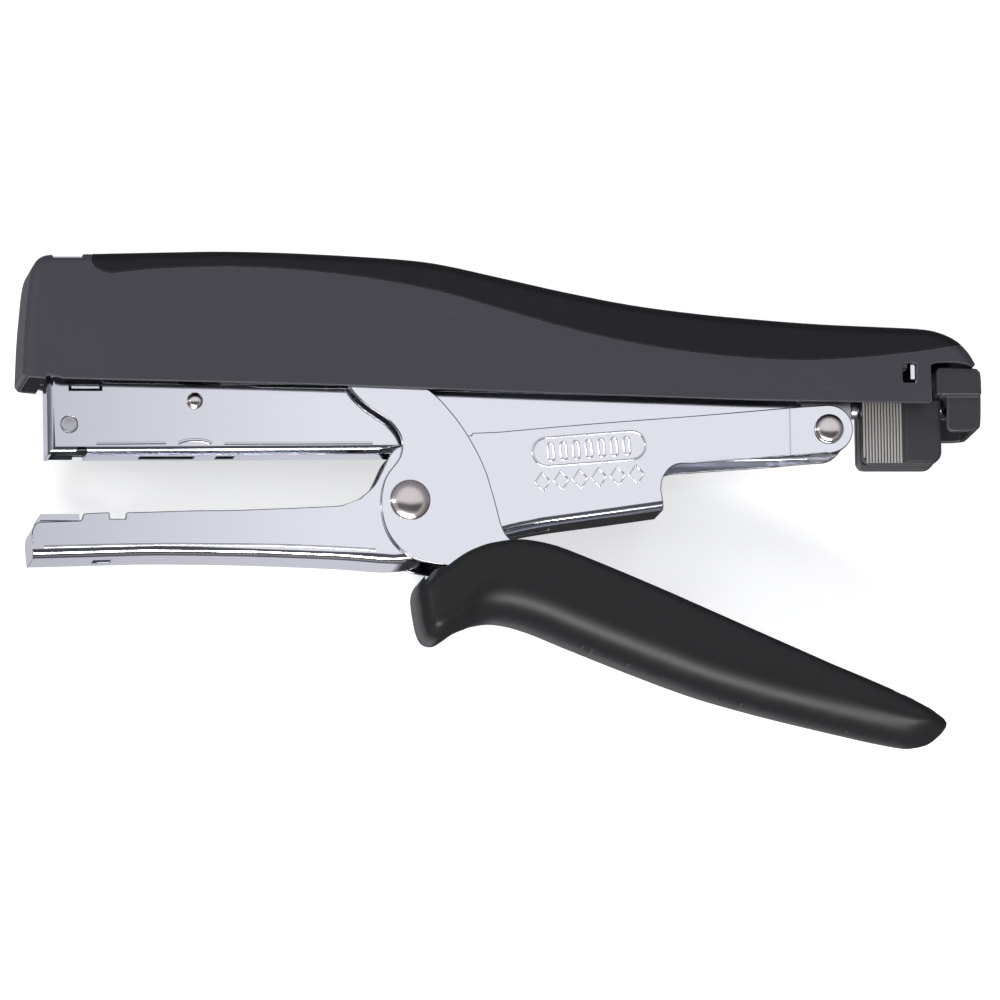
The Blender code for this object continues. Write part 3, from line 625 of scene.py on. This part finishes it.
def make_housing():
    web = flow(HOUSING_WEB, 3)
    bent = HOUSING_TOP[-1:] + web + flow(HOUSING_END, 3)
    housing = solid("magazine_channel", slab(bent + HOUSING_TOP[:-1], -HOUSING, HOUSING, bent, 2.1, 7))
    floor = [(x, y + THIN_SHEET) for x, y in web[1:]]
    inside = [(NOSE_INSIDE, 12.2)] + floor + [(100.0, 13.6), (100.0, 40.0), (NOSE_INSIDE, 40.0)]
    room = HOUSING - THIN_SHEET
    tools = [
        slab(inside, -room, room, inside[:len(floor) + 1], 0.4, 2),
        box((-115.9, -109.5), (5, 13), (-room, room)),
        slab(
            [(-109.5, 5), (-106.9, 5), (-106.9, 12.4), (-107.3, 12.8), (-109.1, 12.8), (-109.5, 12.4)],
            -10,
            10,
        ),
        slab(stadium(-92.7, -78.6, 13), -2.6, 2.6),
        box((-92.7, -78.6), (5, 14), (-2.6, 2.6)),
        box((-72.9, -68.3), (5, 14), (-2.6, 2.6)),
        disc((-111.4, 18.9), 2.15, -10, 10),
        disc((-78.9, 25.0), 1.3, -10, 10),
        box((-111.3, -102.9), (27.7, 33.0), (-10, 10)),
    ]
    carve(housing, *tools)
    for side in (1, -1):
        across = sorted((side * (HOUSING - THIN_SHEET), side * (HOUSING + 0.1)))
        carve(housing, box((-110.8, -103.4), (28.2, 29.3), across), way="UNION")
    soften(housing, 0.2, 3)
    ribs = []
    for side in (1, -1):
        for start, end in ((-104.5, -86.5), (-71.5, -33.0)):
            rib = [(start, 13.9), (end, 14.05)]
            ribs.append(bead(f"rib_{start}_{side}", rib, side, HOUSING, 0.8, 0.15))
        swell = [(x, 13.4 + (y - 13.6) * 0.32) for x, y in arc((-79.0, 13.6), 4.6, 20, 160, 14)]
        ribs.append(bead(f"swell_{side}", swell, side, HOUSING, 0.9, 0.18))
    merge(housing, *ribs)
    return place(housing, "frame", CHROME, "chrome", "magazine_housing")


def stadium(start, end, y):
    return [(start, y - 8), (end, y - 8), (end, y + 1), (start, y + 1)]


def bead(name, path, side, level, radius, proud):
    """A pressed ridge along a path on a sheet's outer face."""
    height = side * (level - radius + proud)
    dense = flow(path, 8) if len(path) > 2 else path
    return wire(name, [spot(x, y, height) for x, y in dense], radius, sides=2)


def make_magazine_fittings():
    for side, sign in (("left", 1), ("right", -1)):
        flush = [(0, 6.7), (1.95, 6.7), (2.08, 7.0), (2.08, 7.42), (1.8, 7.56), (1.5, 7.5), (0, 7.46)]
        stop = [
            (0, 6.7), (1.2, 6.7), (1.2, 7.55), (2.0, 7.6), (2.12, 7.9), (1.95, 8.35), (1.5, 8.75),
            (0.8, 8.98), (0, 9.05),
        ]
        rear = [
            (0, 6.7), (2.5, 6.7), (2.5, 10.3), (3.75, 10.35), (3.85, 10.8), (3.7, 11.4), (3.2, 11.9),
            (2.4, 12.3), (1.3, 12.52), (0, 12.6),
        ]
        for name, centre, profile, finish, slot in (
            ("nose_rivet", (-111.4, 18.9), flush, STEEL, "steel"),
            ("stop_pin", (-78.9, 25.0), stop, NICKEL, "steel"),
            ("rear_rivet", REAR, rear, NICKEL, "nickel"),
        ):
            made = solid(f"{name}_turned_{side}", turned(centre, [(r, sign * z) for r, z in profile]))
            shade(made, 30)
            place(made, "frame", finish, slot, f"{name}_{side}")


# ---------- driver and cover ----------

# The corner between the cover's back and its sides
COVER_ROUND = 3.0


def cover_core(inset, width, radius):
    """The space inside the cover, this far in from its back."""
    path = beside(flow(COVER_BACK), inset)
    outline = [(path[0][0] - 0.3, 2.0)] + path + [(path[-1][0] + 0.3, 2.0)]
    return slab(outline, -width, width, outline, radius, 4)


def cover_outside(extra=0.0):
    """The cover as if it ran on below its rim, so that its rounded corners are even."""
    back = beside(flow(COVER_BACK), -extra)
    outline = [(back[0][0] - 0.6, 5.0)] + back + [(back[-1][0] + 0.8, 5.0)]
    return slab(outline, -SHELL - extra, SHELL + extra, outline, COVER_ROUND + extra, 9)


def make_cover():
    cover = solid("cover_shell", cover_outside())
    below = [(140.0, 33.8), (123.7, 33.8)] + flow(COVER_REAR[1:], 2) + flow(COVER_EDGE, 3)[1:]
    below += COVER_LIP + [(-140.0, 31.0), (-140.0, -5.0), (140.0, -5.0)]
    band = flow(INLAY_EDGE) + [(130.0, 75.0), (-105.4, 75.0)]
    seat = solid("seat", through(band))
    carve(seat, cover_core(0.9, SHELL - 0.9, 2.1))
    groove = bmesh.new()
    groove.from_mesh(seat.data)
    bpy.data.objects.remove(seat)
    carve(
        cover,
        through(below),
        cover_core(SHELL_WALL, SHELL - SHELL_WALL, 1.4),
        groove,
        box((-115.6, -107.8), (61.3, 70), (-THROUGH, THROUGH)),
        box((-113.4, -109.6), (55, 70), (-6.2, 6.2)),
        through(rounded(104.2, 107.9, 28.9, 34.1, 0.5)),
    )
    soften(cover, 0.22)
    place(cover, "driver", COVER, "cover_plastic", "top_cover")
    edge = beside(flow(INLAY_EDGE), -0.08)
    inlay = solid("cover_soft_inlay", slab(edge + [(131.0, 74.0), (edge[0][0], 74.0)], -19, 19))
    carve(inlay, cover_outside(0.06), way="INTERSECT")
    carve(inlay, cover_core(0.75, SHELL - 0.75, 2.25))
    soften(inlay, 0.12, 2)
    place(inlay, "driver", INLAY, "soft_inlay", "cover_inlay")


def make_cover_clips():
    front = solid("front_spring_clip", box((-113.2, -110.0), (52.0, 61.8), (-5.6, 5.6)))
    carve(front, box((-112.4, -105.0), (50.0, 61.0), (-7.0, 7.0)))
    carve(front, box((-115.3, -108.1), (61.4, 62.2), (-9.5, 9.5)), way="UNION")
    carve(front, box((-113.4, -109.9), (61.0, 64.0), (-2.2, 8.6)))
    soften(front, 0.12)
    place(front, "driver", CHROME, "steel", "front_clip")
    back = solid("rear_spring_clip", box((106.5, 109.4), (30.0, 37.2), (-12.3, 12.3)))
    carve(back, box((100, 112), (25, 36.4), (-11.5, 11.5)))
    soften(back, 0.12)
    place(back, "driver", CHROME, "steel", "rear_clip")


# ---------- anvil arm ----------

def make_arm():
    web = flow(ARM_WEB, 4)
    top = ARM_TIP + [(-109.2, -6.5), (-108.8, -6.2), (-108.4, -4.9), (-107.9, -4.6), (-101.9, -4.3)]
    top += [(-101.6, -4.5), (-101.5, -6.0), (-97.5, -6.0), (-97.4, -4.6), (-97.0, -4.3)]
    notch = [(-12.0, 16.3), (-9.7, 16.9), (-9.3, 15.7), (-7.8, 15.6), (-7.5, 16.3)]
    ear = arc(REAR, 6.3, 95, -95, 24)
    belly = flow(ARM_BELLY, 4)
    upper = top + flow(ARM_BLADE, 3) + flow(ARM_THROAT) + notch + flow(ARM_BACK, 3)
    outline = distinct(upper + ear + belly + web[::-1])
    arm = solid("anvil_channel", slab(outline, -ARM, ARM, web, 2.5, 7))
    room = ARM - ARM_SHEET
    floor = [(x, y + ARM_SHEET) for x, y in web[1:]]
    inside = [(-120.3, -14.7)] + floor + [(44.0, -1.9), (44.0, -12.0), (110, -12.0), (110, 60), (-120.3, 60)]
    carve(
        arm,
        slab(inside, -room, room, inside[:len(floor) + 1], 0.5, 2),
        box((-125, -120), (-7.7, 10), (-8.2, 8.2)),
        box((-18.5, 13.0), (-24, -3), (-1.7, 1.7)),
        box((-105.0, -100.6), (-20, -10), (-3.0, 3.0)),
        bore(MAIN, MAIN_BORE),
        bore(REAR, REAR_BORE),
    )
    joggle(arm, 74.6, 75.6, 0.42)
    soften(arm, 0.3, 3)
    marks = []
    for side in (1, -1):
        crease = [(-118.5, -13.3), (-90.0, -12.7), (-60.0, -12.9), (-42.0, -13.6), (-33.0, -14.1)]
        marks.append(bead(f"crease_{side}", crease, side, ARM, 0.5, 0.16))
        marks += pressed_panel(side)
    merge(arm, *marks)
    return place(arm, "arm", CHROME, "chrome", "anvil_arm")


def joggle(obj, start, end, step):
    """Sets both cheeks a little closer together past a short bend."""
    bm = bmesh.new()
    bm.from_mesh(obj.data)
    for x in (start, (start + end) / 2, end):
        geometry_now = list(bm.verts) + list(bm.edges) + list(bm.faces)
        bmesh.ops.bisect_plane(bm, geom=geometry_now, plane_co=spot(x, 0), plane_no=(1, 0, 0), dist=1e-6)
    for vert in bm.verts:
        share = min(max((vert.co.x / MM - start) / (end - start), 0.0), 1.0)
        share = share * share * (3 - 2 * share)
        out = vert.co.z - MIDDLE
        if abs(out) > 5 * MM:
            vert.co.z -= math.copysign(step * MM * share, out)
    bm.to_mesh(obj.data)
    bm.free()


# The pressed panel leans with the arm
PANEL_AT = (23.0, 8.6)
PANEL_LEAN = 4.6
PRESSED = 0.2


def panel_spot(u, v):
    """A place on the arm, in mm along and across the panel."""
    angle = math.radians(PANEL_LEAN)
    return (
        PANEL_AT[0] + u * math.cos(angle) - v * math.sin(angle),
        PANEL_AT[1] + u * math.sin(angle) + v * math.cos(angle),
    )


def pressed_outline(name, shape, side, radius=0.34):
    points = [spot(*panel_spot(u, v), side * (ARM - radius + PRESSED)) for u, v in shape]
    return wire(name, points, radius, closed=True, sides=2)


def pressed_panel(side):
    """Stiffening beads: a long oval with upright bars in it, and a row of lozenges below."""
    oval = arc((11.0, 3.6), 3.7, -90, 90, 10) + arc((-11.0, 3.6), 3.7, 90, 270, 10)
    made = [pressed_outline(f"oval_{side}", oval, side)]
    for i in range(7):
        u = (i - 3) * 3.3
        bar = arc((u, 5.2), 0.75, 0, 180, 6) + arc((u, 2.0), 0.75, 180, 360, 6)
        made.append(pressed_outline(f"bar_{i}_{side}", bar, side, 0.28))
    for i in range(6):
        u = (i - 2.5) * 4.9 - 0.6
        lozenge = [(u - 2.0, -4.0), (u, -1.6), (u + 2.0, -4.0), (u, -6.4)]
        made.append(pressed_outline(f"lozenge_{i}_{side}", lozenge, side, 0.3))
    return made


def make_arm_fittings():
    head = [
        (0, 14.4), (1.4, 14.36), (2.7, 14.15), (3.8, 13.75), (4.7, 13.2), (5.15, 12.85), (5.25, 12.65),
        (5.0, 12.55), (3.0, 12.55),
    ]
    profile = head + [(r, -z) for r, z in head[::-1]]
    made = solid("main_rivet_turned", turned(MAIN, profile, 72))
    shade(made, 30)
    place(made, "arm", NICKEL, "nickel", "main_rivet")


# ---------- lever ----------

# The grip and what it holds narrow towards its free end
TAPER_FROM = 45.0
TAPER_TO = 116.0
TAPER = 0.26


def taper_at(x):
    return 1 - TAPER * max((x - TAPER_FROM) / (TAPER_TO - TAPER_FROM), 0.0)


def taper(bm):
    """Narrows a plate's mesh as the grip narrows."""
    everything = list(bm.verts) + list(bm.edges) + list(bm.faces)
    bmesh.ops.bisect_plane(bm, geom=everything, plane_co=spot(TAPER_FROM, 0), plane_no=(1, 0, 0), dist=1e-6)
    for vert in bm.verts:
        vert.co.z = MIDDLE + (vert.co.z - MIDDLE) * taper_at(vert.co.x / MM)
    return bm


def make_lever():
    web = flow(LEVER_WEB, 3)
    lug = arc(CAM, 4.8, 100, 320, 20)
    outline = lug + flow(LEVER_FRONT) + [(-12.0, -20.5)] + web + LEVER_HIDDEN + flow(LEVER_BACK)
    lever = solid("lever_plates", taper(slab(outline, -LEVER, LEVER, web, 1.8, 4)))
    floor = [(x, y + LEVER_SHEET) for x, y in web[1:]]
    inside = [(-60, floor[0][1])] + floor + [(140, -58.5), (140, 60), (-60, 60)]
    room = LEVER - LEVER_SHEET
    carve(lever, taper(slab(inside, -room, room)), bore(MAIN, MAIN_BORE), bore(CAM, CAM_BORE))
    soften(lever, 0.34, 3)
    return place(lever, "lever", CHROME, "chrome", "lever_arm")


def inside_outline(points, outline):
    """Which of the points lie inside the outline."""
    found = np.zeros(len(points), bool)
    for (x1, y1), (x2, y2) in zip(outline, np.roll(outline, -1, 0)):
        crosses = (y1 > points[:, 1]) != (y2 > points[:, 1])
        with np.errstate(divide="ignore", invalid="ignore"):
            at = (x2 - x1) * (points[:, 1] - y1) / (y2 - y1) + x1
        found ^= crosses & (points[:, 0] < at)
    return found


def to_outline(points, outline, radii):
    """Each point's distance to the outline, and the rounding radius there."""
    best = np.full(len(points), 1e9)
    radius = np.zeros(len(points))
    following = np.roll(outline, -1, 0)
    radii_after = np.roll(radii, -1)
    for a, b, ra, rb in zip(outline, following, radii, radii_after):
        span = b - a
        t = np.clip(((points - a) @ span) / max(span @ span, 1e-12), 0, 1)
        away = np.linalg.norm(points - (a + t[:, None] * span), axis=1)
        nearer = away < best
        best[nearer] = away[nearer]
        radius[nearer] = (ra + (rb - ra) * t)[nearer]
    return best, radius


def pillow(outline, radii, half_at, spacing=0.9, smoothing=6):
    """A plate whose two faces fall away towards its outline, each stretch by its own radius."""
    rim = np.array(outline, float)
    radii = np.array(radii, float)
    low, high = rim.min(0), rim.max(0)
    grid = []
    rows = int((high[1] - low[1]) / (spacing * 0.866)) + 1
    for row in range(rows):
        xs = np.arange(low[0] + (row % 2) * spacing / 2, high[0], spacing)
        grid.append(np.stack([xs, np.full(len(xs), low[1] + row * spacing * 0.866)], 1))
    grid = np.concatenate(grid)
    grid = grid[inside_outline(grid, rim)]
    away, radius = to_outline(grid, rim, radii)
    keep = away > spacing * 0.45
    grid, away, radius = grid[keep], away[keep], radius[keep]
    spots = [Vector(p) for p in np.concatenate([rim, grid])]
    count = len(rim)
    loop = [(i, (i + 1) % count) for i in range(count)]
    verts, _, faces, origin, _, _ = geometry.delaunay_2d_cdt(spots, loop, [], 1, 1e-5)
    away = np.concatenate([np.zeros(count), away])
    radius = np.concatenate([radii, radius])
    depth = np.clip(away, 0, radius)
    drop = radius - np.sqrt(np.maximum(radius ** 2 - (radius - depth) ** 2, 0))
    bm = bmesh.new()
    sheets = []
    for sign in (1, -1):
        sheet = []
        for here, first in zip(verts, origin):
            share = (half_at(here.x) - drop[first[0]]) if first else half_at(here.x)
            sheet.append(bm.verts.new(spot(here.x, here.y, sign * share)))
        for face in faces:
            corners = [sheet[i] for i in (face if sign > 0 else face[::-1])]
            bm.faces.new(corners)
        sheets.append(sheet)
    on_rim_now = {first[0]: i for i, first in enumerate(origin) if first and first[0] < count}
    inner = [
        sheet[i] for sheet in sheets for i, first in enumerate(origin) if not first or first[0] >= count
    ]
    for _ in range(smoothing):
        bmesh.ops.smooth_vert(bm, verts=inner, factor=0.5, use_axis_z=True)
    for i in range(count):
        a, b = on_rim_now[i], on_rim_now[(i + 1) % count]
        bm.faces.new((sheets[0][b], sheets[0][a], sheets[1][a], sheets[1][b]))
    bmesh.ops.recalc_face_normals(bm, faces=bm.faces)
    return bm


def make_grip():
    stretches = (
        (flow(GRIP_TOP, 4), 1.2),
        (flow(GRIP_END, 3), 3.5),
        (flow(GRIP_BELLY, 4), 10.0),
        (flow(GRIP_HOOK, 4), 4.6),
    )
    outline, radii = [], []
    for stretch, radius in stretches:
        outline += stretch[:-1]
        radii += [radius] * (len(stretch) - 1)
    count = len(radii)
    for _ in range(8):
        radii = [(radii[i - 1] + radii[i] + radii[(i + 1) % count]) / 3 for i in range(count)]
    grip = solid("grip_moulding", pillow(outline, radii, lambda x: SHELL * taper_at(x)))
    under = [(x, y - 0.3) for x, y in flow(LEVER_WEB, 3)[1:]]
    ends = under + [(100.5, -58.3), (100.5, 10)]
    pocket = [(-14.6, -22.9)] + ends + [(-14.6, 10)]
    way_in = [(-20.3, -24.5), (-14.6, -24.5)] + ends + [(-20.3, 10)]
    room = LEVER - LEVER_SHEET
    carve(grip, taper(slab(pocket, -LEVER - 0.3, LEVER + 0.3)), taper(slab(way_in, -room, room)))
    soften(grip, 0.35, 3, 50, flat=False)
    return place(grip, "lever", GRIP, "grip_plastic", "lever_grip")


def make_lever_fittings():
    rim = [(0, LEVER), (1.6, LEVER), (2.0, LEVER - 0.3)]
    made = solid("cam_pin_turned", turned(CAM, rim + [(r, -z) for r, z in rim[::-1]], 40))
    shade(made, 30)
    place(made, "lever", STEEL, "steel", "cam_pin")
    for side, sign in (("left", 1), ("right", -1)):
        low, high = sorted((sign * (BEAM + 0.2), sign * (LEVER - LEVER_SHEET - 0.2)))
        ring = solid(f"cam_washer_turned_{side}", disc(CAM, 3.4, low, high, 40))
        carve(ring, bore(CAM, CAM_BORE, 40))
        soften(ring, 0.15)
        place(ring, "lever", STEEL, "steel", f"cam_washer_{side}")


# ---------- springs and rod ----------

def helix(centre, across, along, radius, start, length, turns, steps=24):
    """Points of a helix about the direction along, in metres."""
    u, v = Vector(across), Vector(along).cross(Vector(across))
    found = []
    count = int(turns * steps)
    for i in range(count + 1):
        angle = 2 * math.pi * i / steps
        offset = u * math.cos(angle) + v * math.sin(angle)
        found.append(centre + offset * radius * MM + Vector(along) * (start + length * i / count) * MM)
    return found


def make_springs():
    turns = helix(spot(*MAIN), (1, 0, 0), (0, 0, 1), 4.5, -7.4, 7.4, 4.75)
    leg = [spot(MAIN[0] + 10, MAIN[1] - 11.5), spot(MAIN[0] + 20, MAIN[1] - 19.5), spot(5.0, -27.0)]
    place(wire("lever_spring_wire", turns + leg, 0.7), "lever", SPRING, "spring_wire", "lever_spring")
    middle = spot(20, 0)
    turns = helix(middle, (1, 0, 0), (0, 1, 0), 4.4, 33.0, 8.8, 4.0)
    place(wire("driver_spring_wire", turns, 0.6), "driver", SPRING, "spring_wire", "driver_spring")
    low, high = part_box("pusher_spring")
    length = (high.x - low.x) / MM - 1.0
    turns = helix(spot(0, ROD_Y), (0, 1, 0), (1, 0, 0), 2.3, low.x / MM + 0.5, length, 44)
    place(wire("pusher_spring_wire", turns, 0.35, sides=2), "loader", SPRING, "spring_wire", "pusher_spring")


def make_rod():
    rod = solid("guide_rod_turned", bar_along(ROD_Y, ROD_RADIUS, -112.9, 119.0))
    soften(rod, 0.2)
    place(rod, "loader", STEEL, "steel", "guide_rod")
    collar = solid("rod_collar_turned", bar_along(ROD_Y, 2.9, 92.3, 94.1))
    carve(collar, bar_along(ROD_Y, ROD_BORE, 60, 119))
    soften(collar, 0.2)
    place(collar, "loader", STEEL, "steel", "rod_collar")


# ---------- latch and end cap ----------

PAD_PIN = (104, 15.5)
PAD_FACE = 8.0
PAD_RIBS = 13
RIB_PITCH = 0.80


def make_latch():
    low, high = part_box("latch_pad_left")
    x0, x1, y0, y1 = low.x / MM, high.x / MM, low.y / MM, high.y / MM
    outline = [(x0, y1)] + arc((x0 + 2.2, y0 + 2.2), 2.2, 180, 270, 8)
    outline += arc((x1 - 3.2, y0 + 3.2), 3.2, 270, 360, 10) + [(x1, y1)]
    ribs_end = x0 + 0.9 + RIB_PITCH * PAD_RIBS
    smooth = [(ribs_end, y0 + 0.5), (x1 - 3.2, y0 + 0.5)] + arc((x1 - 3.2, y0 + 3.2), 2.6, 280, 360, 8)
    smooth += [(x1 - 0.6, y1), (ribs_end, y1)]
    flat = PAD_FACE - 0.45
    for side, sign in (("left", 1), ("right", -1)):
        pad = solid(f"latch_pad_moulding_{side}", slab(outline, *sorted((sign * 4.3, sign * flat))))
        carve(pad, turned_bar(PAD_PIN, 1.5, sign * 1.5, sign * 5.0), way="UNION")
        soften(pad, 0.4, 3)
        ribs = []
        for i in range(PAD_RIBS):
            foot = y0 + (0.25 if i else 1.6)
            ribs.append(pad_rib(f"rib_{i}_{side}", x0 + 0.45 + RIB_PITCH * i, foot, y1, sign, flat))
        smooth_end = solid("end", slab(smooth, *sorted((sign * (flat - 0.3), sign * PAD_FACE))))
        soften(smooth_end, 0.3, 3)
        ridged = sum(len(rib.data.polygons) for rib in ribs)
        merge(pad, smooth_end, *ribs)
        place(pad, f"latch_{side}", LATCH, "latch_plastic", f"latch_pad_{side}")
        # The ribs take the pale finish that paints their crest highlights
        pad.data.materials.append(RIB_PAINTED_HIGHLIGHT)
        for polygon in pad.data.polygons[-ridged:]:
            polygon.material_index = 1


def turned_bar(centre, radius, start, end):
    return disc(centre, radius, *sorted((start, end)), 32)


def pad_rib(name, x, foot, top, sign, flat):
    points = [spot(x, y, sign * (flat - 0.05)) for y in (foot, (foot + top) / 2, top - 0.2)]
    return wire(name, points, 0.3, sides=3)


CAP_HALF = 12.6


def make_end_cap():
    core_low, core_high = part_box("latch_block")
    span = [(core_low[i] / MM, core_high[i] / MM) for i in (0, 1)]
    core = solid("latch_core", box(span[0], span[1], (-2.8, 2.8)))
    carve(core, bar_along(ROD_Y, ROD_BORE, 60, 119), turned_bar(PAD_PIN, 1.7, -5, 5))
    soften(core, 0.4, 3)
    place(core, "loader", LATCH, "latch_plastic", "latch_block")
    cap = solid("end_cap_moulding", slab(flow(CAP_OUTLINE, 3), -CAP_HALF, CAP_HALF))
    carve(
        cap,
        box((110, 130), (10, 25.9), (11.2, 20)),
        box((110, 130), (10, 25.9), (-20, -11.2)),
        box((110, 122.6), (10, 23.0), (-9.4, 9.4)),
        bar_along(ROD_Y, ROD_BORE, 60, 119.6),
    )
    soften(cap, 0.6, 4)
    place(cap, "loader", LATCH, "latch_plastic", "end_cap")


# ---------- studio ----------

# Pieces that stay as packed: flat steel inside the tool
PLAIN = (
    "magazine_rail", "spring_seat", "driver_beam", "driver_blade", "blade_holder", "anvil_plate", "follower",
)


def finish_plain_nodes():
    for name in PLAIN:
        node = frame["nodes"][name]
        material = CHROME if name == "anvil_plate" else STEEL
        node.data.materials.clear()
        node.data.materials.append(material)


FLOOR_GAP = 0.0004
FLOOR_HALF = 3.0


def make_floor():
    bm = bmesh.new()
    bmesh.ops.create_grid(bm, x_segments=8, y_segments=8, size=FLOOR_HALF)
    bmesh.ops.translate(bm, verts=bm.verts, vec=(0, 0, CAD_BOX[0].z - FLOOR_GAP))
    floor = solid("floor", bm)
    glow = {"Emission_Color": (1.0, 1.0, 1.0, 1.0), "Emission_Strength": 0.62}
    finish = Finish("pale_paper", Roughness=0.9, **glow)
    finish.set(Base_Color=finish.blend(finish.cloud(3.0), (0.60, 0.60, 0.60), (0.63, 0.63, 0.63)))
    floor.data.materials.append(finish.material)
    floor.visible_glossy = False


def area_light(name, place_at, size, power, mirrored=True):
    light = bpy.data.lights.new(name, "AREA")
    light.shape = "ELLIPSE"
    light.size, light.size_y = size
    light.energy = power
    made = bpy.data.objects.new(name, light)
    bpy.context.scene.collection.objects.link(made)
    made.location = place_at
    made.visible_glossy = mirrored
    made.rotation_euler = (-Vector(place_at)).to_track_quat("-Z", "Y").to_euler()


# The studio's brightness, at heights from straight down (0) to straight up (1)
LIT_HALF = [
    (0.0, (0.62, 0.62, 0.67)), (0.10, (0.60, 0.60, 0.65)), (0.14, (0.10, 0.10, 0.11)),
    (0.30, (0.16, 0.16, 0.17)), (0.44, (0.30, 0.30, 0.32)), (0.50, (0.10, 0.10, 0.11)),
    (0.56, (0.24, 0.24, 0.26)), (0.72, (0.28, 0.28, 0.30)), (0.80, (0.40, 0.40, 0.42)),
    (0.88, (0.78, 0.78, 0.81)), (1.0, (0.88, 0.88, 0.91)),
]
DIM_HALF = [
    (0.0, (0.62, 0.62, 0.67)), (0.10, (0.60, 0.60, 0.65)), (0.14, (0.05, 0.05, 0.055)),
    (0.30, (0.14, 0.14, 0.15)), (0.42, (0.32, 0.32, 0.34)), (0.49, (0.30, 0.30, 0.32)),
    (0.515, (0.03, 0.028, 0.028)), (0.545, (0.24, 0.12, 0.06)), (0.575, (0.03, 0.028, 0.028)),
    (0.63, (0.18, 0.18, 0.19)), (0.74, (0.22, 0.22, 0.23)), (0.78, (0.50, 0.48, 0.49)),
    (0.84, (0.42, 0.41, 0.42)), (0.88, (0.09, 0.09, 0.10)), (1.0, (0.09, 0.09, 0.10)),
]
PALE_TABLE = [(0.0, (0.61, 0.61, 0.66))]
DARK_TABLE = (0.035, 0.033, 0.034, 1.0)
BACKDROP = (0.90, 0.90, 0.91, 1.0)


def make_sky():
    """A white sweep below, dark to the rear, a diffuser over the cover and a dim room by the handle."""
    world = bpy.data.worlds.new("studio")
    bpy.context.scene.world = world
    world.use_nodes = True
    nodes, links = world.node_tree.nodes, world.node_tree.links

    def ramp(level, stops):
        made = nodes.new("ShaderNodeValToRGB")
        while len(made.color_ramp.elements) < len(stops):
            made.color_ramp.elements.new(0.5)
        for element, (at, colour) in zip(made.color_ramp.elements, stops):
            element.position = at
            element.color = (*colour, 1.0)
        links.new(level, made.inputs[0])
        return made.outputs[0]

    def mix(share, first, second):
        made = nodes.new("ShaderNodeMix")
        made.data_type = "RGBA"
        links.new(share, made.inputs[0])
        links.new(first, made.inputs[6])
        if isinstance(second, tuple):
            made.inputs[7].default_value = second
        else:
            links.new(second, made.inputs[7])
        return made.outputs[2]

    def spread(value, low, high):
        made = nodes.new("ShaderNodeMapRange")
        made.inputs["From Min"].default_value = low
        made.inputs["From Max"].default_value = high
        links.new(value, made.inputs["Value"])
        return made.outputs[0]

    split = nodes.new("ShaderNodeSeparateXYZ")
    links.new(nodes.new("ShaderNodeTexCoord").outputs["Generated"], split.inputs[0])
    height = spread(split.outputs["Z"], -1.0, 1.0)
    towards_cover = spread(split.outputs["Y"], -0.10, 0.02)
    room = mix(towards_cover, ramp(height, DIM_HALF), ramp(height, LIT_HALF))
    towards_rear = spread(split.outputs["X"], 0.128, 0.140)
    table = mix(towards_rear, ramp(height, PALE_TABLE), DARK_TABLE)
    room = mix(spread(height, 0.11, 0.09), room, table)
    seen = nodes.new("ShaderNodeLightPath").outputs["Is Camera Ray"]
    shown = mix(seen, room, BACKDROP)
    links.new(shown, nodes["Background"].inputs["Color"])


def make_camera():
    """Nearly straight down on the tool, a little from its nose and its handle side."""
    distance, across = 4.0, 0.2581
    target = spot(0.65, 0.29)
    lean = Vector((-0.122, -0.139, 1.0)).normalized()
    data = bpy.data.cameras.new("camera")
    data.sensor_width = 36.0
    data.lens = data.sensor_width * distance / across
    data.clip_end = 20.0
    made = bpy.data.objects.new("camera", data)
    bpy.context.scene.collection.objects.link(made)
    made.location = target + lean * distance
    up = lean.cross(Vector((1, 0, 0))).normalized()
    made.rotation_euler = Matrix((up.cross(lean), up, lean)).transposed().to_euler()
    bpy.context.scene.camera = made


make_camera()
make_housing()
make_magazine_fittings()
make_cover()
make_cover_clips()
make_arm()
make_arm_fittings()
make_lever()
make_grip()
make_lever_fittings()
make_springs()
make_rod()
make_latch()
make_end_cap()
finish_plain_nodes()
make_floor()
make_sky()
area_light("back_softbox", (-0.8, 1.4, 1.2), (1.0, 1.0), 22.0, mirrored=False)
area_light("nose_strip", (-1.5, 0.1, 0.75), (0.12, 0.9), 3.0)
area_light("handle_softbox", (-0.35, -1.5, 1.05), (1.9, 0.50), 46.0)
bpy.context.scene.view_settings.view_transform = "Standard"
